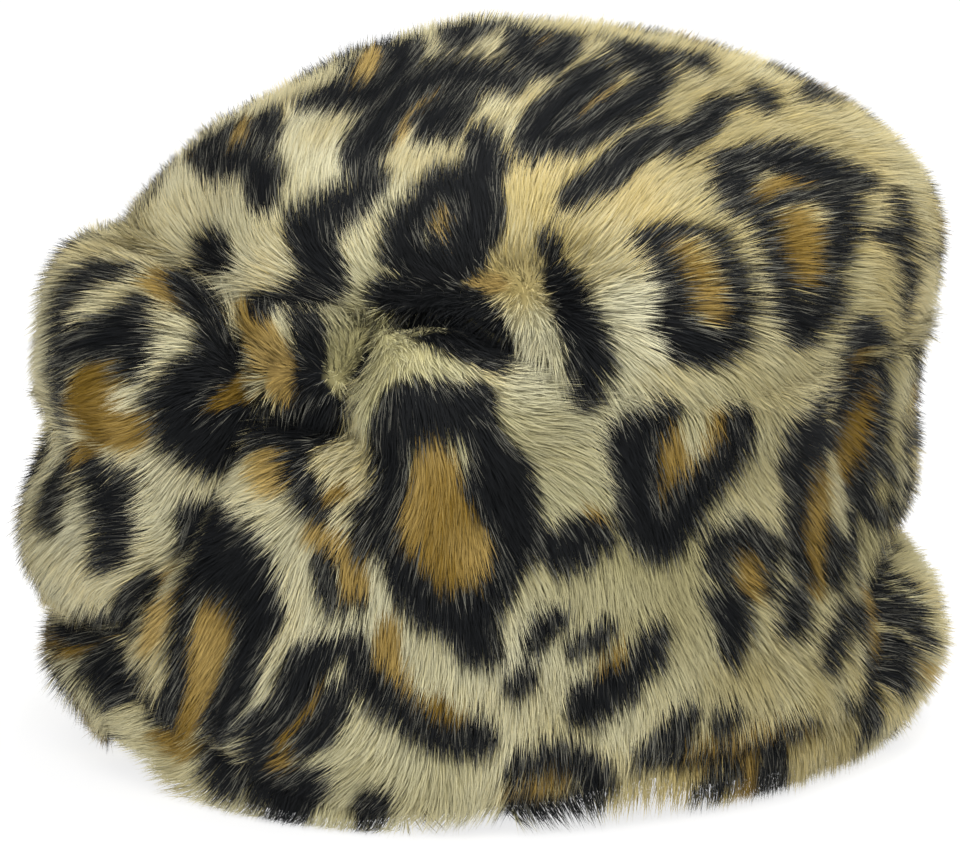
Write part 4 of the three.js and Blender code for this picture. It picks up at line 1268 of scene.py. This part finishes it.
def comb(places, normals, arrows):
    """The way the fur lies at places of one piece, and how flat it lies there."""
    rows = np.array(arrows, float)
    gaps = ((in_photo(places)[:, None] - rows[None, :, :2]) ** 2).sum(-1)
    weights = 1 / (gaps + COMB_REACH**2) ** 2
    run = weights @ rows[:, 2:] / weights.sum(1, keepdims=True)
    flatness = np.clip(np.linalg.norm(run, axis=1), 0, FLATTEST)
    swirl = FUR["swirl"] * drift(places, FUR["swirl_size"], FUR["swirl_seed"])
    swirl = swirl * (FLATTEST + FUR["swirl_left"] - flatness)
    right, down = run.T
    turned_right = (right * np.cos(swirl) - down * np.sin(swirl))[:, None]
    turned_down = (right * np.sin(swirl) + down * np.cos(swirl))[:, None]
    near = unit(turned_right * VIEW_RIGHT - turned_down * VIEW_UP)
    against = stepping(*LIP_SPAN, -(near * normals).sum(1))[:, None]
    near = near + VIEW_BACK * OVERHANG * against
    facing = stepping(*COMB_SPAN, broad_way(places) @ VIEW_BACK)[:, None]
    mixed = near * facing + unit(np.array(FAR_LIE, float)) * (1 - facing)
    mixed = mixed - normals * (mixed * normals).sum(1, keepdims=True)
    return unit(mixed), flatness * facing[:, 0] + 1 - facing[:, 0]


def curled(places, curls):
    """The pile's share of its length at places of one piece, and how it is ruffled there."""
    pixels = in_photo(places)
    length = np.ones(len(places))
    ruffle = np.zeros(len(places))
    for x, y, reach, share, turn in curls:
        near = nearness(pixels, x, y, reach)
        length = np.minimum(length, 1 - (1 - share) * near)
        ruffle = np.maximum(ruffle, turn * near)
    bumps = np.stack([drift(places, RUFFLE_SIZE, seed) for seed in RUFFLE_SEEDS], -1)
    return length, bumps * ruffle[:, None]


# Node trees.


class Wire:
    """A node's socket that takes part in sums."""

    def __init__(self, tree, socket):
        self.tree = tree
        self.socket = socket

    def joined(self, other, operation, swapped=False):
        first, second = (other, self) if swapped else (self, other)
        vectors = [w for w in (first, second) if isinstance(w, Wire) and w.socket.type == "VECTOR"]
        if not vectors:
            return self.tree.made(
                "ShaderNodeMath", {"operation": operation}, {0: first, 1: second}
            )
        if operation == "MULTIPLY" and len(vectors) == 1 and not isinstance(second, tuple):
            plain = second if vectors[0] is first else first
            return self.tree.made(
                "ShaderNodeVectorMath", {"operation": "SCALE"}, {"Vector": vectors[0], "Scale": plain}
            )
        return self.tree.made(
            "ShaderNodeVectorMath", {"operation": operation}, {0: first, 1: second}
        )

    def __add__(self, other):
        return self.joined(other, "ADD")

    def __radd__(self, other):
        return self.joined(other, "ADD", swapped=True)

    def __sub__(self, other):
        return self.joined(other, "SUBTRACT")

    def __rsub__(self, other):
        return self.joined(other, "SUBTRACT", swapped=True)

    def __mul__(self, other):
        return self.joined(other, "MULTIPLY")

    def __rmul__(self, other):
        return self.joined(other, "MULTIPLY", swapped=True)

    def raised(self, power):
        return self.joined(power, "POWER")


class Tree:
    """A node tree under construction."""

    def __init__(self, nodes, links):
        self.nodes = nodes
        self.links = links

    def placed(self, kind, settings, values):
        node = self.nodes.new(kind)
        for name, value in settings.items():
            setattr(node, name, value)
        for name, value in values.items():
            if isinstance(value, Wire):
                self.links.new(value.socket, node.inputs[name])
            else:
                node.inputs[name].default_value = value
        return node

    def made(self, kind, settings, values, output=0):
        return Wire(self, self.placed(kind, settings, values).outputs[output])

    def mixed(self, factor, first, second):
        settings = {"data_type": "RGBA", "clamp_factor": True}
        return self.made("ShaderNodeMix", settings, {0: factor, 6: first, 7: second}, output=2)

    def scaled(self, colour, share):
        values = {0: colour, "Scale": share}
        return self.made("ShaderNodeVectorMath", {"operation": "SCALE"}, values)

    def attribute(self, name, output=0):
        return self.made("ShaderNodeAttribute", {"attribute_name": name}, {}, output=output)


def fur_tree():
    """The tree that plants fur: it scatters roots, lays tufts and shapes each strand."""
    group = bpy.data.node_groups.new("plant fur", "GeometryNodeTree")
    face = group.interface
    face.new_socket("Geometry", in_out="INPUT", socket_type="NodeSocketGeometry")
    for name in ("Density", "Width", "Spread", "Tuft", "Tuft Pull", "Lock", "Lock Pull", "Lowest"):
        face.new_socket(name, in_out="INPUT", socket_type="NodeSocketFloat")
    face.new_socket("Seed", in_out="INPUT", socket_type="NodeSocketInt")
    face.new_socket("Strand", in_out="INPUT", socket_type="NodeSocketObject")
    face.new_socket("Finish", in_out="INPUT", socket_type="NodeSocketMaterial")
    face.new_socket("Geometry", in_out="OUTPUT", socket_type="NodeSocketGeometry")
    tree = Tree(group.nodes, group.links)
    given = group.nodes.new("NodeGroupInput")
    asked = {socket.name: Wire(tree, socket) for socket in given.outputs if socket.name}

    def attribute(name, kind="FLOAT_VECTOR"):
        return tree.made("GeometryNodeInputNamedAttribute", {"data_type": kind}, {"Name": name})

    def random(low, high, salt):
        if isinstance(low, tuple):
            values = {0: low, 1: high, 8: asked["Seed"] + salt}
            return tree.made("FunctionNodeRandomValue", {"data_type": "FLOAT_VECTOR"}, values)
        values = {2: low, 3: high, 8: asked["Seed"] + salt}
        return tree.made("FunctionNodeRandomValue", {"data_type": "FLOAT"}, values, output=1)

    def vector(operation, first, second=None):
        values = {0: first} if second is None else {0: first, 1: second}
        return tree.made("ShaderNodeVectorMath", {"operation": operation}, values)

    def stored(geometry, name, value, kind="FLOAT_VECTOR"):
        settings = {"data_type": kind, "domain": "POINT"}
        values = {"Geometry": geometry, "Name": name, "Value": value}
        return tree.made("GeometryNodeStoreNamedAttribute", settings, values)

    roots = tree.made(
        "GeometryNodeDistributePointsOnFaces",
        {"distribute_method": "RANDOM"},
        {
            "Mesh": asked["Geometry"],
            "Density": asked["Density"] * attribute("cover", "FLOAT"),
            "Seed": asked["Seed"],
        },
    )
    position = tree.made("GeometryNodeInputPosition", {}, {})
    one = (1.0, 1.0, 1.0)
    less = (-1.0, -1.0, -1.0)
    skin = vector("NORMALIZE", attribute("skin"))
    growth = vector("NORMALIZE", attribute("growth") + random(less, one, 1) * asked["Spread"])
    reach = attribute("reach", "FLOAT") * random(*FUR["length_range"], 2)

    def pulled(size, pull, shift):
        """The way to the middle of a tuft of the given size, times its pull."""
        scale = tree.made("ShaderNodeMath", {"operation": "DIVIDE"}, {0: 1.0, 1: size})
        values = {"Vector": position + (shift, 0.0, 0.0), "Scale": scale}
        cell = tree.made("ShaderNodeTexVoronoi", {"feature": "F1"}, values, output=2)
        return (cell - position - (shift, 0.0, 0.0)) * pull

    tuft = pulled(asked["Tuft"], asked["Tuft Pull"], FUR["tuft_shift"] * MM)
    lock = pulled(asked["Lock"], asked["Lock Pull"], FUR["lock_shift"] * MM)
    stray = random(less, one, 3) * (reach * FUR["stray"])
    sweep = attribute("sweep") * reach + tuft + lock + stray
    flat = vector("NORMALIZE", vector("CROSS_PRODUCT", skin, growth))
    roll = random(-FUR["roll"], FUR["roll"], 4)
    rolled = vector("NORMALIZE", flat + vector("CROSS_PRODUCT", growth, flat) * roll)
    width = rolled * (asked["Width"] * random(*FUR["width_range"], 5))

    points = stored(roots, "root", position)
    points = stored(points, "growth", growth * reach)
    points = stored(points, "sweep", sweep)
    points = stored(points, "flat", width)
    points = stored(points, "chance", random(0.0, 1.0, 6), "FLOAT")
    strand = tree.made(
        "GeometryNodeObjectInfo", {}, {"Object": asked["Strand"]}, output="Geometry"
    )
    planted = tree.made("GeometryNodeInstanceOnPoints", {}, {"Points": points, "Instance": strand})
    real = tree.made("GeometryNodeRealizeInstances", {}, {"Geometry": planted})
    rise = attribute("rise", "FLOAT")
    side = attribute("side", "FLOAT")
    place = (
        attribute("root")
        + attribute("growth") * rise
        + attribute("sweep") * (rise * rise)
        + attribute("flat") * side
    )
    parts = tree.placed("ShaderNodeSeparateXYZ", {}, {0: place})
    x, y, z = (Wire(tree, socket) for socket in parts.outputs)
    above = tree.made("ShaderNodeMath", {"operation": "MAXIMUM"}, {0: z, 1: asked["Lowest"]})
    kept = tree.made("ShaderNodeCombineXYZ", {}, {0: x, 1: y, 2: above})
    shaped = tree.made("GeometryNodeSetPosition", {}, {"Geometry": real, "Position": kept})
    finished = tree.made(
        "GeometryNodeSetMaterial", {}, {"Geometry": shaped, "Material": asked["Finish"]}
    )
    end = group.nodes.new("NodeGroupOutput")
    group.links.new(finished.socket, end.inputs[0])
    return group


def strand_pattern():
    """The flat kite that every strand is shaped from."""
    rise = np.array([0, FUR["widest"], FUR["widest"], 1])
    side = np.array([0, -1, 1, 0])
    places = np.stack([side, np.zeros(STRAND_VERTICES), rise], -1)
    piece = plain_mesh("strand_pattern", places, np.array([[0, 1, 2], [1, 3, 2]]))
    put(piece.data, "rise", "FLOAT", rise)
    put(piece.data, "side", "FLOAT", side)
    return piece


def print_colours(tree, tip):
    """The fur's colour before its black, from the print's shares, and two of the shares."""
    shares = tree.placed("ShaderNodeSeparateColor", {}, {0: tree.attribute("marks")})
    dark, tan, warm = (Wire(tree, socket) for socket in shares.outputs)
    tones = tree.placed("ShaderNodeSeparateColor", {}, {0: tree.attribute("tones")})
    olive, pale_and_lit, chance = (Wire(tree, socket) for socket in tones.outputs)
    ground = tree.mixed(warm, linear("cream"), linear("gold"))
    ground = tree.mixed(olive, ground, linear("olive"))
    # Painted shade, partly the fur's own tone: the less pale the ground, the more it takes the shade
    # colour.
    ground = tree.mixed((1 - pale_and_lit) * FINISH["shade"], ground, linear("shade"))
    ground = tree.mixed(tip * pale_and_lit * FINISH["pale_tip"], ground, linear("pale_tip"))
    brown = tree.mixed(tree.attribute("depth", 2), linear("amber"), linear("brown"))
    return tree.mixed(tan, ground, brown), dark, chance


def material(name):
    made = bpy.data.materials.new(name)
    made.use_nodes = True
    made.node_tree.nodes.clear()
    return made, Tree(made.node_tree.nodes, made.node_tree.links)


def finished(tree, surface):
    tree.placed("ShaderNodeOutputMaterial", {}, {"Surface": surface})


def fur_material(name):
    made, tree = material(name)
    rise = tree.attribute("rise", 2)
    tip = rise.raised(FINISH["tip_power"])
    coloured, dark, chance = print_colours(tree, tip)
    black = tree.mixed(tip * FINISH["dark_tip"] * chance, linear("dark"), linear("dark_tip"))
    black = tree.mixed(tree.attribute("frost", 2) * rise, black, linear("frost"))
    coloured = tree.mixed(dark, coloured, black)
    # Painted shade: each strand's colour darkens towards its root.
    along_strand = FINISH["root_shade"] + (1 - FINISH["root_shade"]) * rise
    by_strand = FINISH["strand_shade"] + FINISH["strand_swing"] * chance
    own = tree.made("ShaderNodeNewGeometry", {}, {}, output="Normal") * FINISH["own_normal"]
    skin = tree.attribute("skin", "Vector") * (1 - FINISH["own_normal"])
    normal = tree.made("ShaderNodeVectorMath", {"operation": "NORMALIZE"}, {0: own + skin})
    values = {
        "Base Color": tree.scaled(coloured, along_strand * by_strand),
        "Normal": normal,
        "Roughness": FINISH["roughness"],
        "Specular IOR Level": FINISH["specular"],
    }
    finished(tree, tree.made("ShaderNodeBsdfPrincipled", {}, values))
    return made


def backing_material(name):
    """The fur's ground cloth, seen only between the roots, its print darkened with painted shade for
    lying deep in the pile.
    """
    made, tree = material(name)
    coloured, dark, _ = print_colours(tree, tree.attribute("rise", 2))
    # Painted shade: the print is mixed towards a dark brown and scaled down, as deep in the pile.
    coloured = tree.mixed(FINISH["backing"], coloured, linear("backing"))
    coloured = tree.mixed(dark, coloured, linear("dark"))
    values = {
        "Base Color": tree.scaled(coloured, FINISH["backing_shade"]),
        "Roughness": FINISH["plain_roughness"],
        "Specular IOR Level": FINISH["backing_specular"],
    }
    finished(tree, tree.made("ShaderNodeBsdfPrincipled", {}, values))
    return made


def plain_material(name, colour):
    made, tree = material(name)
    values = {"Base Color": linear(colour), "Roughness": FINISH["plain_roughness"]}
    finished(tree, tree.made("ShaderNodeBsdfPrincipled", {}, values))
    return made


# The pieces.

TOP_LEVEL = len(BODY_FORM) - 1 - TOP_GAP


def hem_height(angle):
    """How high the fur's lower edge stands off the floor."""
    rolled, lifted = (
        np.interp(angle, *np.array(rows, float).T) for rows in (HEM_ROLL, HEM_LIFT)
    )
    return rolled + lifted


def crown_grid():
    """The crown's angles and levels, and its lower edge."""
    edge = ring_edge(LEFT_WRAP, low=False)[::-1]
    edge = [row for row in edge if row[0] <= KNOT[-1][0]]
    beside = [row[3] for row in RIGHT_WRAP].index(KNOT[-1][3])
    edge += ring_edge(RIGHT_WRAP, low=False)[beside:]
    edge = stepped(edge, SIZES["shell_step"], 2)[:-1]
    low = level_in(BODY_FORM, edge[:, 1] + SIZES["seam"])
    share = np.linspace(0, 1, RINGS["crown"])
    level = low[:, None] + (TOP_LEVEL - low[:, None]) * share
    return np.repeat(edge[:, :1], RINGS["crown"], axis=1), level, edge


def cuff_grid():
    """The cuff's angles and levels."""
    edge = [row for row in ring_edge(LEFT_WRAP, low=True)[::-1] if row[0] <= RIGHT_WRAP[0][2]]
    edge += ring_edge(RIGHT_WRAP, low=True)
    edge = stepped(edge, SIZES["shell_step"], 2)[:-1]
    hem = hem_height(edge[:, 0]) + SIZES["hem_foot"]
    top = edge[:, 1] - SIZES["seam"]
    share = np.linspace(0, 1, RINGS["cuff"])
    height = hem[:, None] + (top - hem)[:, None] * share
    return np.repeat(edge[:, :1], RINGS["cuff"], axis=1), level_in(BODY_FORM, height)


def wrap_piece(name, rows):
    """What the shell of a wrap or the knot is made from."""
    angle, height = wrap_grid(rows, RINGS[name])
    return {
        "grid": (angle, level_in(BODY_FORM, height)),
        "closed": False,
        "skirts": ("low", "high"),
    }


# Where a piece has a parting, the fur on its left is a mesh of its own.
*crown_rings, crown_edge = crown_grid()
PIECES = {
    "crown": {"grid": crown_rings, "closed": True, "skirts": ("low",), "parting": 0},
    "left_wrap": wrap_piece("left_wrap", LEFT_WRAP),
    "right_wrap": wrap_piece("right_wrap", RIGHT_WRAP) | {"parting": 20},
    "knot": wrap_piece("knot", KNOT),
    "cuff": {"grid": cuff_grid(), "closed": True, "skirts": ("low", "high")},
}


def lining():
    """The cap band and the inside of the crown, in plain cloth."""
    angle, edge = crown_edge.T
    foot = SIZES["cap_lift"] + np.maximum(hem_height(angle), 0)
    rings = []
    for share in np.linspace(0, 1, LINING_RINGS["outside"]):
        height = (edge + SIZES["lining_tuck"]) * (1 - share) + foot * share
        rings.append(cap_point(angle, height, SIZES["cap_wall"]))
    for share in np.linspace(0, 1, LINING_RINGS["inside"]):
        height = foot * (1 - share) + (edge + SIZES["crown_floor"]) * share
        rings.append(cap_point(angle, height, 0))
    start = level_in(BODY_FORM, edge + SIZES["crown_inner_start"])
    for share in np.linspace(0, 1, LINING_RINGS["dome"]):
        level = start * (1 - share) + TOP_LEVEL * share
        wall = body_normal(angle, level) * SIZES["crown_wall"]
        rings.append(oval_point(BODY_FORM, angle, level) - wall)
    grid = np.stack(rings, 1) + HAT_SHIFT
    rows, count = grid.shape[:2]
    places = grid.reshape(-1, 3)
    faces = sheet_faces(rows, count, closed=True)
    piece = plain_mesh("crown_lining", places, faces)
    normals = vertex_normals(piece)
    inner = places[:, 2] < SIZES["lining_low"]
    if (normals[inner] * places[inner])[:, :2].sum() > 0:
        piece.data.flip_normals()
    piece.data.shade_smooth()
    piece.data.materials.append(plain_material("lining_cloth", "lining"))
    return piece


def planted(piece, tree, strand, finish, width, seed):
    """A mesh of all the strands that grow on a shell."""
    modifier = piece.modifiers.new("fur", "NODES")
    modifier.node_group = tree
    sizes = {
        "Density": FUR["near_strands"] / MM**2,
        "Width": width * MM / 2,
        "Spread": FUR["spread"],
        "Tuft": FUR["tuft"] * MM,
        "Tuft Pull": FUR["tuft_pull"],
        "Lock": FUR["lock"] * MM,
        "Lock Pull": FUR["lock_pull"],
        "Lowest": FUR["lowest"] * MM,
        "Seed": seed,
        "Strand": strand,
        "Finish": finish,
    }
    for item in tree.interface.items_tree:
        if item.in_out == "INPUT" and item.name in sizes:
            modifier[item.identifier] = sizes[item.name]
    graph = bpy.context.evaluated_depsgraph_get()
    mesh = bpy.data.meshes.new_from_object(piece.evaluated_get(graph), depsgraph=graph)
    piece.modifiers.remove(modifier)
    return mesh


def read(mesh, name, size):
    values = np.empty(len(mesh.vertices) * size, np.float32)
    field = "vector" if size == 3 else "value"
    mesh.attributes[name].data.foreach_get(field, values)
    return values.reshape(-1, size).astype(float) if size > 1 else values.astype(float)


def marked(mesh, places, normals, chance, far_marks, repeat):
    """Stores the print's shares on a mesh, the same on each strand's vertices."""
    shares = np.repeat(print_at(places, normals, chance, far_marks), repeat, axis=0)
    opaque = np.ones(len(shares))
    chance = np.repeat(chance, repeat)
    put(mesh, "marks", "FLOAT_COLOR", np.column_stack([shares[:, :3], opaque]))
    put(mesh, "tones", "FLOAT_COLOR", np.column_stack([shares[:, 3:5], chance, opaque]))
    put(mesh, "frost", "FLOAT", shares[:, 5])
    put(mesh, "depth", "FLOAT", shares[:, 6])


def strand_chart(mesh):
    """Gives a mesh a bake chart in which each strand has a small field of its own."""
    count = len(mesh.vertices) // STRAND_VERTICES
    across = math.ceil(math.sqrt(count))
    index = np.arange(count)
    corner = np.stack([index % across, index // across], -1)
    charted(mesh, (corner[:, None] + np.array(STRAND_FIELD)).reshape(-1, 2) / across)


def strand_piece(name, mesh, far_marks):
    """A fur piece from a planted mesh, with its print."""
    root = read(mesh, "root", 3)[::STRAND_VERTICES] / MM
    growth = read(mesh, "growth", 3)[::STRAND_VERTICES] / MM
    sweep = read(mesh, "sweep", 3)[::STRAND_VERTICES] / MM
    skin = read(mesh, "skin", 3)[::STRAND_VERTICES]
    chance = read(mesh, "chance", 1)[::STRAND_VERTICES]
    places = root + growth * PRINT_RISE + sweep * PRINT_RISE**2
    marked(mesh, places, unit(skin), chance, far_marks, STRAND_VERTICES)
    for spare in ("root", "growth", "sweep", "flat", "side", "cover", "reach", "chance"):
        if spare in mesh.attributes:
            mesh.attributes.remove(mesh.attributes[spare])
    strand_chart(mesh)
    mesh.name = name
    return linked(name, mesh)


def camera():
    """The photograph's camera, aimed so that the target falls on its pixel."""
    made = bpy.data.cameras.new("camera")
    made.sensor_width = CAMERA["sensor"]
    span = PHOTO_SIZE[0] * CAMERA["pixel"]
    made.lens = CAMERA["sensor"] * CAMERA["distance"] / span
    made.clip_end = CAMERA["clip_end"] * MM
    piece = linked("camera", made)
    x, y = CAMERA["target_pixel"]
    across = (PHOTO_SIZE[0] / 2 - x) * CAMERA["pixel"]
    up = (y - PHOTO_SIZE[1] / 2) * CAMERA["pixel"]
    aim = np.array(CAMERA["target"]) + VIEW_RIGHT * across + VIEW_UP * up
    piece.location = Vector((aim + VIEW_BACK * CAMERA["distance"]) * MM)
    piece.rotation_euler = Vector(-VIEW_BACK).to_track_quat("-Z", "Y").to_euler()
    bpy.context.scene.camera = piece


def floor():
    corners = [(-1, -1, 0), (1, -1, 0), (1, 1, 0), (-1, 1, 0)]
    places = np.array(corners) * SIZES["floor_half"]
    piece = plain_mesh("floor", places, np.array([[0, 1, 2, 3]]))
    paper, tree = material("floor_paper")
    values = {
        "Base Color": linear("floor"),
        "Roughness": FINISH["plain_roughness"],
        "Emission Color": linear("floor_glow"),
        "Emission Strength": FLOOR_GLOW,
    }
    finished(tree, tree.made("ShaderNodeBsdfPrincipled", {}, values))
    piece.data.materials.append(paper)


def lights():
    for name, light in LIGHTS.items():
        made = bpy.data.lights.new(name, "AREA")
        made.size = light["side"] * MM
        made.energy = light["watts"]
        piece = linked(name, made)
        piece.location = Vector(light["place"]) * MM
        aim = Vector(CAMERA["target"]) * MM - piece.location
        piece.rotation_euler = aim.to_track_quat("-Z", "Y").to_euler()
    room = bpy.data.worlds.new("room")
    bpy.context.scene.world = room
    bpy.context.scene.view_settings.view_transform = "Standard"
    room.use_nodes = True
    glow = room.node_tree.nodes["Background"]
    glow.inputs["Color"].default_value = linear("backdrop")
    glow.inputs["Strength"].default_value = ROOM_GLOW


camera()
floor()
lights()

strand = strand_pattern()
planting = fur_tree()
shells = {}
for name, made in PIECES.items():
    piece, *rest = shell(f"{name}_ground", *made["grid"], made["closed"], made["skirts"])
    shells[name] = (piece, *rest, wall_normals(piece, name))

all_places = np.vstack([made[1] for made in shells.values()])
all_normals = np.vstack([made[4] for made in shells.values()])
far_marks = far_rosettes(all_places, all_normals)

inside = lining()
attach(inside, "root")
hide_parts("crown")

LEAN = math.radians(FUR["lean"])
FAR_SHARE = FUR["far_strands"] / FUR["near_strands"]
for number, (name, made) in enumerate(shells.items()):
    piece, places, cover, folded, normals = made
    lie, flatness = comb(places, normals, COMB[name])
    lean = (LEAN * flatness)[:, None]
    put(piece.data, "skin", "FLOAT_VECTOR", normals)
    length, ruffle = curled(places, CURLS.get(name, []))
    growth = normals * np.cos(lean) + lie * np.sin(lean) + ruffle
    put(piece.data, "growth", "FLOAT_VECTOR", growth)
    bend = lie * (FUR["bend"] * flatness)[:, None]
    put(piece.data, "sweep", "FLOAT_VECTOR", bend - normals * FUR["sag"])
    length = length * (1 - FUR["crease_trim"] * folded)
    put(piece.data, "reach", "FLOAT", FUR["length"] * MM * length)
    finish = fur_material(f"{name}_fur")
    near = stepping(*NEAR_SPAN, normals @ VIEW_BACK)
    rightward = places @ VIEW_RIGHT > PIECES[name].get("parting", -SIZES["mean_radius"])
    stretches = {
        "left": (near * ~rightward, "width"),
        "front": (near * rightward, "width"),
        "back": ((1 - near) * FAR_SHARE, "far_width"),
    }
    furs = []
    for stretch, (share, width) in stretches.items():
        if cover @ share < LEAST_COVER:
            continue
        put(piece.data, "cover", "FLOAT", cover * share)
        seed = FUR["seed"] + 2 * number + len(furs)
        mesh = planted(piece, planting, strand, finish, FUR[width], seed)
        piece.data.attributes.remove(piece.data.attributes["cover"])
        furs.append(strand_piece(f"{name}_fur_{stretch}", mesh, far_marks))
    marked(piece.data, places, normals, np.full(len(places), 0.5), far_marks, 1)
    piece.data.materials.append(backing_material(f"{name}_backing"))
    for done in (piece, *furs):
        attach(done, "root")
        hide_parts(name)

bpy.data.objects.remove(strand)
